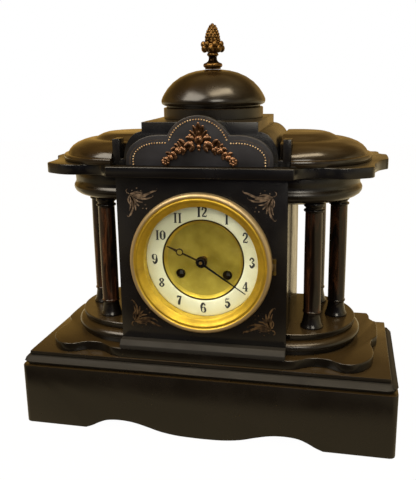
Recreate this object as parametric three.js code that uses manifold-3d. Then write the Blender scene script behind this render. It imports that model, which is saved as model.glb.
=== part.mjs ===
// Black slate mantel clock: a stone case with a half-round colonnade at each end, a domed top,
// a hinged glazed dial and a round striking movement with bell and pendulum.
// Millimetres, +Z up, front towards -Y. The origin is on the table, under the middle of the case.
import * as THREE from "three";
import { mergeVertices } from "three/addons/utils/BufferGeometryUtils.js";
import Module from "manifold-3d";

const wasm = await Module();
wasm.setup();

// Fits
const seam = 0.1; // plaster bed between two stones
const play = 0.3; // gap between a metal piece and its seat
const overrun = 5; // how far a cutter passes the face it cuts

// Reach of the case from the colonnade's axis, across X, to the front and to the flat back
const baseHalf = 205;
const baseFront = 96;
const caseBack = 70;

// Heights of the courses, from the table up
const baseHeight = 80;
const stepHeight = 5;
const plateHeight = 10.5;
const soleHeight = 9.5;
const bodyHeight = 179.5;
const corniceHeight = 11;
const blockHeight = 44;
const drumHeight = 11;
const domeHeight = 40;
const finialHeight = 48;

const stepLevel = baseHeight;
const plateLevel = stepLevel + stepHeight;
const soleLevel = plateLevel + plateHeight;
const bodyLevel = soleLevel + soleHeight;
const corniceLevel = bodyLevel + bodyHeight;
const roofLevel = corniceLevel + corniceHeight;
const drumLevel = roofLevel + blockHeight;
const domeLevel = drumLevel + drumHeight;
const finialLevel = domeLevel + domeHeight;

// Base: four slate slabs on edge, a lid with a bevelled rim, corners taken off
const baseWall = 18;
const baseLidHeight = 10;
const baseBevel = 5;
const baseCorner = 6;
const archRise = 13;
const archLeadShare = 0.25; // an arch's outer handle, as a share of its span
const archCrownShare = 1.25; // an arch's inner handle, as a share of its rise
const archInner = 52;
const archOuter = 132;
const tonguePeak = 48;
const tongueRise = 4;

// Step slab, lobed plate and the sole under the body
const stepHalf = 197.5;
const stepFront = 88.5;
const plateHalf = 186;
const plateFront = 87;
const soleFront = 88;
const soleBevel = 5;

// Body: a box of slate panels with a round dial hole in front and a round door hole behind
const bodyHalfWidth = 90;
const bodyFront = 76;
const bodyBack = 64;
const panelThick = 14;
const sideThick = 12;
const dialRise = 88.7; // dial centre above the foot of the body
const dialHole = 66;
const doorHole = 64;

// Colonnades: half-round foot and capital discs with three turned columns between them
const footRadius = 76;
const footHeight = 22.5;
const capitalRadius = 73;
const capitalHeight = 29.5;
const columnRing = 49; // radius of the arc that the columns stand on
const columnSpread = Math.PI / 3;
const columnRadius = 12.3;

// Cornice, half-round wing caps and the pediment
const corniceHalf = 189;
const corniceFront = 88;
const capRadius = 82;
const capHeight = 28.5;
const blockHalf = 60;
const blockFoot = 80;
const blockFront = 74;
const blockBack = 58;
const blockDrop = 9.5; // from the flat top down to the shoulder
const shoulderRise = 6.5;
const postOuter = 92.5;
const postWidth = 8;
const postDepth = 15;
const postHeight = 27;
const reliefProud = 6;
const archCentre = 15.5;
const archRadius = 35.5;
const lobeOffset = 41;
const lobeReach = 35;
const lobeRise = 25;

// Dome and finial
const drumRadius = 54.5;
const domeRadius = 57;
const finialRadius = 14;

// Bronze mount on the pediment
const mountRise = 27; // middle of the boss above the cornice
const mountShift = 1.5; // the mount sits a little to the right of the middle
const mountBoss = 6;
const mountDepth = 5;
const leafLength = 18;
const leafWidth = 5;
const crownTurn = Math.PI / 5.5; // from one leaf of the crown to the next
const swagSpan = 35;
const swagDrop = 21.6;
const swagHeight = 3.4; // half height of the bunched leaves
const swagDepth = 3;
const huskReach = 21;
const huskDrop = 8.5;
const huskLength = 7.5;
const huskHeight = 4.2;
const rosetteRadius = 4.8;
const leafBellyShare = 1 / 3; // where a leaf is widest, as a share of its length
const bunchProudShare = 0.8; // how proud a bunch stands, as a share of the boss

// Dial, fixed ring, hinged bezel and glass. Depths are measured back from the bezel's front.
const bezelRadius = 75.7;
const bezelDepth = 7.2;
const bezelSight = 61;
const glassRadius = 64;
const glassThick = 1.3;
const ringFlange = 72;
const ringFlangeThick = 1.7;
const ringTube = 14;
const ringWall = 1.6;
const chapterOuter = 59.8;
const chapterInner = 43;
const chapterThick = 2;
const dialThick = 1.6;
const dialDepth = 11.4; // dial plate's front behind the body's face
const dishRadius = 38;
const dishDepth = 2.5; // sunk middle behind the dial plate's front
const dishRim = 1.4;
const reflectorWall = 0.8;
const reflectorRoot = 2.4; // how far back along the tube the reflector's root reaches
const windHole = 5;
const dialFootRing = 35;
const dialFootShare = 1 / 2.6; // the upper feet's angle, as a share of a quarter turn

// Hinges of the bezel and of the rear door
const knuckleRadius = 1.8;
const knuckleBore = 1.1;
const knuckleLength = 7;
const outerKnuckleShare = 0.6; // an outer knuckle's length, as a share of the middle one's
const tabFrontShare = 1 / 3; // the bezel's hinge tab, as a share of its depth
const pinRadius = 0.8;
const hingeOffset = bezelRadius + knuckleRadius + play;
const tabGrip = 4; // how far a hinge tab reaches in over the ring that carries it

// Rear ring and door
const rearFlange = 71;
const rearFlangeThick = 1.2;
const rearDoorRadius = 69;
const rearDoorThick = 1.5;
const rearDoorDish = 4;
const knobRadius = 3;
const knobLength = 2.4;
const soundHoles = 8;
const doorFloorShare = 0.8; // edge of the dish's floor in front, as a share of the door's radius
const doorLipShare = 0.85;
const doorBackLipShare = 0.82;
const doorBackFloorShare = 0.77;
const knobShare = 0.93;
const soundRingShare = 0.6;

// Movement: two round plates held apart by pillars
const plateRadius = 46;
const plateThick = 2.5;
const plateSpace = 35.5;
const plateSetback = 16.6; // front plate behind the dial plate's back
const pillarRing = 40;
const pillarRadius = 2.2;
const upperPillarAngle = 1.18;
const lowerPillarAngle = -1.22;
const windRadius = 29.1; // winding squares from the dial centre
const windAngle = -0.58;
const wheelThick = 1.6;
const pinionLength = 4;
const arborRadius = 1.2;
const centreArbor = 1.5;
const barrelArbor = 2.6;
const windSquare = 3.4;
const windGap = 2.5; // winding square's end behind the dial plate
const barrelBody = 14.5;
const greatThick = 3;
const greatPinionLength = greatThick + play * 6; // wider than the great wheel at both faces
const hubRadius = 3;
const tubeWall = 1.2;
const spokeShare = 1.6; // a spoke's width, as a share of a tube's wall
const smallHubShare = 0.8;
const tailHubShare = 0.7;
const motionStepShare = 1.6; // hour wheel in front of the cannon pinion, as a share of a pinion's length

// Pitch radii of the meshing wheels
const greatPitch = 16;
const greatPinionPitch = 4;
const middlePitch = 16;
const centrePinionPitch = 3.2;
const centrePitch = 16.8;
const thirdPinionPitch = 2.8;
const thirdPitch = 12;
const escapePinionPitch = 2.4;
const escapeRadius = 11;
const cannonPitch = 4.8;
const minutePitch = 14.4;
const minutePinionPitch = 3.84;
const hourPitch = 15.36;
const pinWheelPitch = 9.6;
const flyPinionPitch = 2.4;
const toothShare = 0.58; // tooth height above the pitch line, as a share of the module
const rootShare = 1.45; // depth below the pitch line, as a share of the height above it
const rimShare = 2.6; // from the pitch line to the rim's inner edge, as a share of the module
const pinRingShare = 0.77; // ring of lifting pins, as a share of the pin wheel's pitch radius

// Tooth counts
const greatTeeth = 40;
const greatPinionTeeth = 10;
const middleTeeth = 40;
const centrePinionTeeth = 8;
const centreTeeth = 48;
const thirdPinionTeeth = 8;
const thirdTeeth = 40;
const escapePinionTeeth = 8;
const escapeTeeth = 24;
const cannonTeeth = 12;
const minuteTeeth = 36;
const minutePinionTeeth = 10;
const hourTeeth = 40;
const pinWheelTeeth = 32;
const flyPinionTeeth = 8;
const liftPins = 8;
const liftPinRadius = 0.7;

// Hands
const hourHandLength = 40;
const minuteHandLength = 56.5;
const handThick = 0.9;
const hourHub = 6.2;
const minuteHub = 4.4;
const handWidth = 1.8;
const handTip = 0.7;
const ringRise = 25; // middle of the hour hand's ring from the centre
const ringRadius = 4;
const ringBar = 1.1;
const hourHandGap = 5.5; // hour hand's back in front of the chapter ring
const minuteHandGap = 2.1;
const handTurnHour = (-293.5 * Math.PI) / 180; // rest positions, clockwise from twelve
const handTurnMinute = (-124 * Math.PI) / 180;

// Pendulum, crutch, suspension, bell and hammer
const escapeRise = 24;
const anchorRise = 39.6;
const anchorThick = 2;
const anchorHoleShare = 2.5; // clearing hole in the back plate, as a share of the arbor's radius
const crutchGap = 1.2; // crutch behind the back plate
const crutchLength = 28;
const rodSetback = 12.5; // pendulum rod behind the back plate's rear face
const rodRadius = 1;
const bobDrop = 105.6;
const bobRadius = 16;
const bobThick = 8;
const stemShare = 0.6; // middle of the rating screw below the bob's, as a share of its radius
const chopsHeight = 4.8;
const cockHalf = 12;
const cockThick = 2;
const cockGap = 1.8; // bridge in front of the pendulum rod
const cockFloor = 0.6;
const cockTop = 6;
const cockFootTop = 3.6;
const cockFootWidth = 3;
const springHalf = 1.5;
const springTop = 4.8;
const bellRadius = 38;
const bellDepth = 23;
const bellWall = 1.6;
const bellSetback = 18.5;
const standWidth = 5;
const standThick = 2;
const standGapShare = 1.1; // stand's bar beyond the bell's rim, as a share of its width
const standDropShare = 0.35; // bar below the centre, as a share of the winding squares' radius
const standFootShare = 2.2;
const hammerX = -24.5;
const hammerZ = 32.5;
const hammerHeadX = -40.9;
const hammerHeadZ = 14.9;
const hammerHead = 4.2;
const hammerArmWidth = 2.04;
const tailWidth = 1.8;
const tailShare = 0.7; // the tail's place along the lifting pins
const vaneHalf = 6;
const vaneReach = 4.8;
const vaneHalfThick = 0.3;
const strapRing = 60.3;
const strapThick = 2;
const strapWidth = 10;
const strapAngle = 0.28;

const turnSides = 36;
const smallSides = 20;
const columnSides = 12;
const domeSides = 28;
const finialSides = 16;
const doorSides = 28;
const cushionSides = 6;
const swagSteps = 4;
const rodSides = 8;
const holeSides = 16;
const pillarSides = 12;
const nutSides = 6;
const quarter = Math.PI / 2;
const full = Math.PI * 2;

// Solids from geometries and back, for the joins and cuts
function toSolid(geometry) {
  const bare = geometry.clone();
  bare.deleteAttribute("normal");
  bare.deleteAttribute("uv");
  const merged = mergeVertices(bare);
  const vertProperties = merged.attributes.position.array;
  const triVerts = new Uint32Array(merged.index.array);
  return new wasm.Manifold(new wasm.Mesh({ numProp: 3, vertProperties, triVerts }));
}

function toGeometry(solid) {
  const mesh = solid.getMesh();
  const geometry = new THREE.BufferGeometry();
  geometry.setAttribute("position", new THREE.BufferAttribute(mesh.vertProperties, 3));
  geometry.setIndex(new THREE.BufferAttribute(mesh.triVerts, 1));
  const flat = geometry.toNonIndexed();
  flat.computeVertexNormals();
  return flat;
}

function join(...geometries) {
  return toGeometry(geometries.map(toSolid).reduce((sum, next) => sum.add(next)));
}

function cut(body, ...cutters) {
  return toGeometry(cutters.map(toSolid).reduce((left, next) => left.subtract(next), toSolid(body)));
}

function overlap(first, second) {
  return toGeometry(toSolid(first).intersect(toSolid(second)));
}

// A box between two opposite corners
function block(low, high) {
  const size = high.map((value, i) => value - low[i]);
  const middle = high.map((value, i) => (value + low[i]) / 2);
  return new THREE.BoxGeometry(...size).translate(...middle);
}

function shapeOf(points) {
  return new THREE.Shape(points.map(([x, y]) => new THREE.Vector2(x, y)));
}

// A plan outline in X and Y, raised from one level to another
function raised(points, low, high) {
  const form = new THREE.ExtrudeGeometry(shapeOf(points), { depth: high - low, bevelEnabled: false });
  return form.translate(0, 0, low);
}

// A front outline in X and Z, run back from one depth to another
function runBack(shape, front, back, curveSegments = 6) {
  const form = new THREE.ExtrudeGeometry(shape, { depth: back - front, bevelEnabled: false, curveSegments });
  return form.rotateX(quarter).translate(0, back, 0);
}

// A profile of [radius, height] pairs, from the top down, turned about a vertical axis
function turned(profile, sides = turnSides) {
  const points = profile.map(([radius, height]) => new THREE.Vector2(radius, height)).reverse();
  return new THREE.LatheGeometry(points, sides).rotateX(quarter);
}

// A profile of [radius, depth] pairs turned about an axis that runs front to back
function turnedDeep(profile, sides = turnSides) {
  return new THREE.LatheGeometry(
    profile.map(([radius, depth]) => new THREE.Vector2(radius, depth)),
    sides,
  );
}

// Shares of a radius and a height as a profile in millimetres
function scaled(shares, radius, height, foot = 0) {
  return shares.map(([r, h]) => [r * radius, foot + h * height]);
}

// A round bar that runs front to back
function bar(radius, front, back, x = 0, z = 0, sides = rodSides) {
  return new THREE.CylinderGeometry(radius, radius, back - front, sides).translate(x, (front + back) / 2, z);
}

function mirrored(points) {
  const other = points.map(([x, y]) => [-x, y]).reverse();
  return [...points, ...other];
}

function arcPoints(centreX, centreY, radiusX, radiusY, from, to, steps) {
  return Array.from({ length: steps + 1 }, (_, i) => {
    const angle = from + ((to - from) * i) / steps;
    return [centreX + radiusX * Math.cos(angle), centreY + radiusY * Math.sin(angle)];
  });
}

// Base
const baseLidLevel = baseHeight - baseLidHeight;

function basePlan(inset) {
  const x = baseHalf - inset;
  const front = -baseFront + inset;
  const back = caseBack;
  const corner = baseCorner;
  const right = [
    [x - corner, front],
    [x, front + corner],
    [x, back - corner],
    [x - corner, back],
  ];
  return mirrored(right);
}

// The front slab's lower edge: two shallow arches with a tongue between them
function basePanel() {
  const edge = new THREE.Shape();
  const side = baseHalf + overrun;
  edge.moveTo(-side, baseLidLevel);
  edge.lineTo(-side, 0);
  edge.lineTo(-archOuter, 0);
  const span = archOuter - archInner;
  const lead = archOuter - span * archLeadShare;
  const crown = archInner + span / 2;
  const crownRise = archRise * archCrownShare;
  edge.bezierCurveTo(-lead, archRise, -crown, crownRise, -tonguePeak, tongueRise);
  edge.quadraticCurveTo(-tonguePeak / 2, 0, 0, 0);
  edge.quadraticCurveTo(tonguePeak / 2, 0, tonguePeak, tongueRise);
  edge.bezierCurveTo(crown, crownRise, lead, archRise, archOuter, 0);
  edge.lineTo(side, 0);
  edge.lineTo(side, baseLidLevel);
  return edge;
}

function baseFrontSlab() {
  const front = -baseFront - overrun;
  const profile = runBack(basePanel(), front, -baseFront + baseWall, 10);
  return overlap(raised(basePlan(0), 0, baseLidLevel), profile);
}

function baseBackSlab() {
  const side = baseHalf + overrun;
  const region = block([-side, caseBack - baseWall, 0], [side, caseBack + overrun, baseLidLevel]);
  return overlap(raised(basePlan(0), 0, baseLidLevel), region);
}

function baseSideSlab(side) {
  const front = -baseFront + baseWall + seam;
  const back = caseBack - baseWall - seam;
  const inner = baseHalf - baseWall;
  const [low, high] = side < 0 ? [-baseHalf, -inner] : [inner, baseHalf];
  return block([low, front, 0], [high, back, baseLidLevel]);
}

// Straight rim with a bevel above it
function bevelled(plan, insetPlan, low, mid, high) {
  const below = plan.map(([x, y]) => [x, y, mid]);
  const above = insetPlan.map(([x, y]) => [x, y, high]);
  const points = [...plan.map(([x, y]) => [x, y, low]), ...below, ...above];
  return hullOf(points, plan.length);
}

// A stack of equal rings of points, closed by a fan at each end
function hullOf(points, count) {
  const index = [];
  const rings = points.length / count;
  for (let ring = 0; ring < rings - 1; ring++) {
    for (let i = 0; i < count; i++) {
      const a = ring * count + i;
      const b = ring * count + ((i + 1) % count);
      index.push(a, b, b + count, a, b + count, a + count);
    }
  }
  const top = (rings - 1) * count;
  for (let i = 1; i < count - 1; i++) {
    index.push(0, i + 1, i);
    index.push(top, top + i, top + i + 1);
  }
  const geometry = new THREE.BufferGeometry();
  geometry.setAttribute("position", new THREE.Float32BufferAttribute(points.flat(), 3));
  geometry.setIndex(index);
  return geometry;
}

function baseLid() {
  const inset = basePlan(baseBevel).map(([x, y]) => [x, Math.min(y, caseBack)]);
  return bevelled(basePlan(0), inset, baseLidLevel + seam, baseHeight - baseBevel, baseHeight);
}

function stepSlab() {
  return block([-stepHalf, -stepFront, stepLevel + seam], [stepHalf, caseBack, plateLevel]);
}

// Right half of a lobed plan, as shares of its half width and front reach
const plateFrontShares = [
  [0.45, -1],
  [0.52, -0.99],
  [0.575, -0.94],
  [0.63, -0.865],
  [0.69, -0.85],
  [0.74, -0.88],
  [0.79, -0.945],
  [0.84, -0.955],
  [0.89, -0.91],
  [0.935, -0.82],
  [0.965, -0.69],
  [0.968, -0.46],
  [0.957, -0.29],
  [0.966, -0.16],
  [0.99, -0.07],
  [1, 0],
];
const corniceFrontShares = [
  [0.51, -1],
  [0.53, -0.93],
  [0.57, -0.86],
  [0.65, -0.835],
  [0.72, -0.87],
  [0.79, -0.86],
  [0.86, -0.79],
  [0.912, -0.7],
  [0.917, -0.52],
  [0.925, -0.34],
  [0.95, -0.16],
  [0.985, -0.04],
  [1, 0.04],
];
// Behind the ear, as shares of the half width and of the reach to the flat back
const earBackShares = [
  [1, 0.56],
  [0.975, 0.64],
  [0.955, 0.74],
  [0.957, 0.9],
  [0.945, 1],
];

function lobedPlan(half, front, frontShares) {
  const fore = frontShares.map(([x, y]) => [x * half, y * front]);
  const aft = earBackShares.map(([x, y]) => [x * half, y * caseBack]);
  return mirrored([...fore, ...aft]);
}

function shapedPlate() {
  return raised(lobedPlan(plateHalf, plateFront, plateFrontShares), plateLevel + seam, soleLevel);
}

function corniceSlab() {
  return raised(lobedPlan(corniceHalf, corniceFront, corniceFrontShares), corniceLevel + seam, roofLevel);
}

function bodySole() {
  const x = bodyHalfWidth;
  const plan = (inset) => [
    [x, -soleFront + inset],
    [x, bodyBack],
    [-x, bodyBack],
    [-x, -soleFront + inset],
  ];
  return bevelled(plan(0), plan(soleBevel), soleLevel + seam, bodyLevel - soleBevel, bodyLevel);
}

// Body
const dialLevel = bodyLevel + dialRise;
const bodyFloor = bodyLevel + seam;

function frontPanel() {
  const back = -bodyFront + panelThick;
  const slab = block([-bodyHalfWidth, -bodyFront, bodyFloor], [bodyHalfWidth, back, corniceLevel]);
  const hole = bar(dialHole, -bodyFront - overrun, back + overrun, 0, dialLevel, turnSides);
  return cut(slab, hole);
}

function backPanel() {
  const front = bodyBack - panelThick;
  const slab = block([-bodyHalfWidth, front, bodyFloor], [bodyHalfWidth, bodyBack, corniceLevel]);
  const hole = bar(doorHole, front - overrun, bodyBack + overrun, 0, dialLevel, turnSides);
  return cut(slab, hole);
}

function sidePanel(side) {
  const front = -bodyFront + panelThick + seam;
  const back = bodyBack - panelThick - seam;
  const inner = bodyHalfWidth - sideThick;
  const [low, high] = side < 0 ? [-bodyHalfWidth, -inner] : [inner, bodyHalfWidth];
  return block([low, front, bodyFloor], [high, back, corniceLevel]);
}

// Turned profiles, as shares of the piece's radius and height, from the top down
const footShares = [
  [0, 1],
  [0.92, 1],
  [0.92, 0.77],
  [0.885, 0.75],
  [0.885, 0.66],
  [0.96, 0.62],
  [1, 0.42],
  [0.985, 0.24],
  [0.955, 0.2],
  [0.955, 0],
  [0, 0],
];
const capitalShares = [
  [0, 1],
  [0.975, 1],
  [0.965, 0.55],
  [1, 0.37],
  [0.99, 0.24],
  [0.93, 0.12],
  [0.85, 0.05],
  [0.8, 0],
  [0, 0],
];
const capShares = [
  [0, 1],
  [0.41, 1],
  [0.52, 0.93],
  [0.6, 0.8],
  [0.7, 0.77],
  [0.81, 0.67],
  [0.9, 0.5],
  [0.95, 0.24],
  [1, 0.22],
  [1, 0.02],
  [0, 0],
];
const columnShares = [
  [0, 1],
  [0.89, 1],
  [0.76, 0.966],
  [0.74, 0.952],
  [0.89, 0.942],
  [0.86, 0.928],
  [0.74, 0.92],
  [0.765, 0.6],
  [0.755, 0.14],
  [0.82, 0.132],
  [0.72, 0.116],
  [0.77, 0.075],
  [0.88, 0.025],
  [1, 0],
  [0, 0],
];
const finialShares = [
  [0, 1],
  [0.22, 0.97],
  [0.5, 0.88],
  [0.68, 0.75],
  [0.66, 0.63],
  [1, 0.57],
  [0.8, 0.46],
  [0.34, 0.37],
  [0.45, 0.3],
  [0.32, 0.25],
  [0.4, 0.17],
  [0.74, 0.12],
  [0.74, 0.05],
  [0.6, 0],
  [0, 0],
];
const domeShares = [
  [0, 1],
  [0.17, 0.99],
  [0.4, 0.945],
  [0.62, 0.83],
  [0.8, 0.65],
  [0.92, 0.44],
  [0.985, 0.3],
  [1, 0.2],
  [0.99, 0.09],
  [0.955, 0.06],
  [0.9, 0.05],
  [0.9, 0],
  [0, 0],
];

// Half of a turned disc, standing off a wall at the given distance from its axis
function halfTurned(shares, radius, height, side) {
  const whole = turned(scaled(shares, radius, height));
  const [low, high] = side < 0 ? [-radius - overrun, -seam] : [seam, radius + overrun];
  const region = block([low, -radius - overrun, -overrun], [high, bodyBack, height + overrun]);
  return overlap(whole, region);
}

function column() {
  const height = bodyHeight + soleHeight - footHeight - capitalHeight;
  return turned(scaled(columnShares, columnRadius, height - seam), columnSides);
}

// Wing cap: a turned half disc, notched round the pediment's end post
function wingCap(side) {
  const whole = turned(scaled(capShares, capRadius, capHeight));
  const wall = blockFoot - bodyHalfWidth;
  const [low, high] = side < 0 ? [-capRadius - overrun, -wall - seam] : [wall + seam, capRadius + overrun];
  const region = block([low, -capRadius - overrun, -overrun], [high, bodyBack, capHeight + overrun]);
  const post = postOuter - bodyHalfWidth + play;
  const notchBack = -blockFront + postDepth + play;
  const [notchLow, notchHigh] = side < 0 ? [-post, capRadius] : [-capRadius, post];
  const notchFront = -capRadius - overrun;
  const notch = block([notchLow, notchFront, -overrun], [notchHigh, notchBack, postHeight + overrun]);
  return cut(overlap(whole, region), notch);
}

// Pediment block: flat top, a drop, a quarter-round shoulder, and a foot that carries a post at each end
function pedimentBlock() {
  const shoulderTop = blockHeight - blockDrop;
  const reach = blockFoot - blockHalf;
  const sweep = arcPoints(blockHalf, shoulderRise, reach, shoulderTop - shoulderRise, 0, quarter, 8);
  const right = [[blockFoot, 0], [blockFoot, shoulderRise], ...sweep.slice(1), [blockHalf, blockHeight]];
  const body = runBack(shapeOf(mirrored(right)), -blockFront, blockBack);
  const posts = [-1, 1].map((side) => {
    const inner = postOuter - postWidth;
    const [low, high] = side < 0 ? [-postOuter, -inner] : [inner, postOuter];
    return block([low, -blockFront, 0], [high, -blockFront + postDepth, postHeight]);
  });
  const tieHalf = postOuter - seam;
  const tie = block([-tieHalf, -blockFront, 0], [tieHalf, -blockFront + postDepth, shoulderRise]);
  return join(body, ...posts, tie);
}

// Raised trefoil on the front of the pediment: a middle arch between two lower lobes
function pedimentRelief() {
  const lobeFoot = shoulderRise;
  const lobeEnd = lobeOffset + lobeReach;
  const archX = Math.sqrt(archRadius ** 2 - (lobeFoot + lobeRise - archCentre) ** 2);
  const archStart = Math.acos(archX / archRadius);
  const right = [
    [lobeEnd, 0],
    ...arcPoints(lobeOffset, lobeFoot, lobeReach, lobeRise, 0, quarter, 10),
    ...arcPoints(0, archCentre, archRadius, archRadius, archStart, quarter, 10).slice(0, -1),
  ];
  const left = right.map(([x, z]) => [-x, z]).reverse();
  const outline = [...right, [0, archCentre + archRadius], ...left];
  return runBack(shapeOf(outline), -blockFront - reliefProud, -blockFront - seam);
}

function domeDrum() {
  return turned([
    [0, drumHeight],
    [drumRadius, drumHeight],
    [drumRadius, 0],
    [0, 0],
  ]);
}

function dome() {
  return turned(scaled(domeShares, domeRadius, domeHeight), domeSides);
}

function finial() {
  return turned(scaled(finialShares, finialRadius, finialHeight), finialSides);
}

// Flower bunches along a swag, as shares of its length
const bunchShares = [0.3, 0.55, 0.8];

// A leaf that lies in the front plane: pointed, widest near its root
function leaf(length, width, thick) {
  const outline = new THREE.Shape();
  outline.moveTo(0, 0);
  const belly = length * leafBellyShare;
  outline.quadraticCurveTo(width, belly, 0, length);
  outline.quadraticCurveTo(-width, belly, 0, 0);
  return runBack(outline, -thick, 0, 5);
}

// A cushion of the given half sizes, its back half cut off later by the mount's back plane
function cushion(halfX, halfY, halfZ, x, z, turn = 0) {
  const form = new THREE.SphereGeometry(1, cushionSides, cushionSides - 2).rotateX(quarter);
  return form.scale(halfX, halfY, halfZ).rotateY(turn).translate(x, 0, z);
}

// Bronze mount: a boss under a crown of leaves, and at each side a leaf, a husk and a bunched swag that
// falls to a rosette
function pedimentMount() {
  const pieces = [cushion(mountBoss, mountDepth, mountBoss, 0, 0)];
  for (let i = -2; i <= 2; i++) {
    const length = leafLength - (Math.abs(i) * leafWidth) / 2;
    pieces.push(leaf(length, leafWidth, mountDepth / 2).rotateY(i * crownTurn));
  }
  for (const side of [-1, 1]) {
    const fall = new THREE.QuadraticBezierCurve3(
      new THREE.Vector3((side * mountBoss) / 2, 0, -mountBoss / 2),
      new THREE.Vector3((side * swagSpan) / 2, 0, -swagDrop / 2 - swagHeight),
      new THREE.Vector3(side * swagSpan, 0, -swagDrop),
    );
    const section = arcPoints(0, 0, swagDepth, swagHeight, 0, full, cushionSides).slice(0, -1);
    const path = { steps: swagSteps, extrudePath: fall, bevelEnabled: false };
    pieces.push(new THREE.ExtrudeGeometry(shapeOf(section), path));
    pieces.push(leaf(leafLength, leafWidth, mountDepth / 2).rotateY(side * (quarter + crownTurn / 3)));
    const huskTurn = (side * crownTurn) / 2;
    pieces.push(cushion(huskLength, swagDepth, huskHeight, side * huskReach, -huskDrop, huskTurn));
    pieces.push(cushion(rosetteRadius, swagDepth, rosetteRadius, side * swagSpan, -swagDrop));
    for (const share of bunchShares) {
      const { x, z } = fall.getPoint(share);
      pieces.push(cushion(swagHeight, mountDepth * bunchProudShare, swagHeight, x, z));
    }
  }
  const reach = swagSpan + leafLength;
  return overlap(join(...pieces), block([-reach, -mountDepth * 2, -reach], [reach, 0, reach]));
}

// Dial parts. Depths are along Y from the body's front face, positive towards the back.
const ringFront = -bodyFront - ringFlangeThick - play;
const bezelBack = ringFront - play;
const dialFront = -bodyFront + dialDepth;
const dialBack = dialFront + dialThick;
const chapterFront = dialFront - play - chapterThick;
const hingeAxisY = bezelBack - knuckleRadius / 2;

// Knuckle on the hinge axis, with a tab that reaches in to the ring that carries it
function knuckle(axisX, axisY, low, high, tabInner, tabFront, tabBack) {
  const barrel = new THREE.CylinderGeometry(knuckleRadius, knuckleRadius, high - low, smallSides / 2);
  const upright = barrel.rotateX(quarter).translate(axisX, axisY, (low + high) / 2);
  const near = Math.min(tabInner, axisX);
  const far = Math.max(tabInner, axisX);
  const tab = block([near, tabFront, low], [far, tabBack, high]);
  return [upright, tab];
}

function hingeBore(axisX, axisY, low, high) {
  const bore = new THREE.CylinderGeometry(knuckleBore, knuckleBore, high - low, rodSides);
  return bore.rotateX(quarter).translate(axisX, axisY, (low + high) / 2);
}

function hingePin(axisX, axisY, low, high) {
  const pin = new THREE.CylinderGeometry(pinRadius, pinRadius, high - low, rodSides);
  return pin.rotateX(quarter).translate(axisX, axisY, (low + high) / 2);
}

// Bezel section, as shares of its width from sight edge to rim and of its depth
const bezelShares = [
  [0, 0.31],
  [0.2, 0.48],
  [0.375, 0.75],
  [0.5, 0.92],
  [0.61, 0.83],
  [0.72, 1],
  [0.88, 0.88],
  [1, 0.5],
  [1, 0],
];

function frontBezel() {
  const width = bezelRadius - bezelSight;
  const face = bezelShares.map(([r, d]) => [bezelSight + r * width, bezelBack - d * bezelDepth]);
  const rebate = [
    [glassRadius + play, bezelBack],
    [glassRadius + play, bezelBack - glassThick - play],
    [bezelSight, bezelBack - glassThick - play],
  ];
  const ring = turnedDeep([...face, ...rebate, face[0]]);
  const half = knuckleLength / 2;
  const tabFront = bezelBack - bezelDepth * tabFrontShare;
  const hinge = knuckle(hingeOffset, hingeAxisY, -half, half, bezelRadius - tabGrip, tabFront, bezelBack);
  const bore = hingeBore(hingeOffset, hingeAxisY, -half - overrun, half + overrun);
  return cut(join(ring, ...hinge), bore);
}

function bezelGlass() {
  return bar(glassRadius, bezelBack - glassThick, bezelBack, 0, 0, turnSides);
}

// Fixed ring: a flange on the stone face, a tube through the hole, a sloping reflector in to the chapter
// ring, knuckles and the hinge pin
function dialRing() {
  const tubeOuter = dialHole - play;
  const tubeInner = tubeOuter - ringWall;
  const flangeBack = ringFront + ringFlangeThick;
  const lip = chapterOuter + play;
  const lipLevel = chapterFront + chapterThick / 2 - play;
  const ring = turnedDeep([
    [tubeInner, ringFront],
    [lip, lipLevel],
    [lip + reflectorWall, lipLevel],
    [tubeInner, ringFront + reflectorRoot],
    [tubeInner, -bodyFront + ringTube],
    [tubeOuter, -bodyFront + ringTube],
    [tubeOuter, flangeBack],
    [ringFlange, flangeBack],
    [ringFlange, ringFront],
    [tubeInner, ringFront],
  ].reverse());
  const reach = ringFlange - tabGrip;
  const low = knuckleLength / 2 + play;
  const high = low + knuckleLength * outerKnuckleShare;
  const upper = knuckle(hingeOffset, hingeAxisY, low, high, reach, ringFront, flangeBack);
  const lower = knuckle(hingeOffset, hingeAxisY, -high, -low, reach, ringFront, flangeBack);
  const neck = (from, to) => {
    return block([hingeOffset - pinRadius, hingeAxisY, from], [hingeOffset + pinRadius, flangeBack, to]);
  };
  const necks = [neck(low, high), neck(-high, -low)];
  return join(ring, ...upper, ...lower, ...necks, hingePin(hingeOffset, hingeAxisY, -high, high));
}

const windX = windRadius * Math.cos(windAngle);
const windZ = windRadius * Math.sin(windAngle);

// Dial plate dished in the middle, with a raised rim round the dish, winding holes and three feet
function dialPlate() {
  const radius = dialHole - play - ringWall - play;
  const rim = chapterInner - play;
  const rimFront = dialFront - chapterThick / 2;
  const dish = turnedDeep([
    [0, dialFront + dishDepth],
    [dishRadius, dialFront + dishDepth],
    [rim - dishRim, rimFront],
    [rim, rimFront],
    [rim, dialFront],
    [radius, dialFront],
    [radius, dialBack],
    [rim, dialBack],
    [dishRadius, dialBack + dishDepth],
    [0, dialBack + dishDepth],
  ]);
  const footFront = dialBack + dishDepth - dialThick / 2;
  const upperFoot = quarter * dialFootShare;
  const feet = [upperFoot, Math.PI - upperFoot, -quarter].map((angle) => {
    const x = dialFootRing * Math.cos(angle);
    return bar(pillarRadius, footFront, frontPlateFront - play, x, dialFootRing * Math.sin(angle));
  });
  const front = rimFront - overrun;
  const back = dialBack + dishDepth + play;
  const holes = [
    bar(windHole, front, back, windX, windZ, holeSides),
    bar(windHole, front, back, -windX, windZ, holeSides),
    bar(pipeOuter + play * 2, front, back, 0, 0, holeSides),
  ];
  return cut(join(dish, ...feet), ...holes);
}

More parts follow.
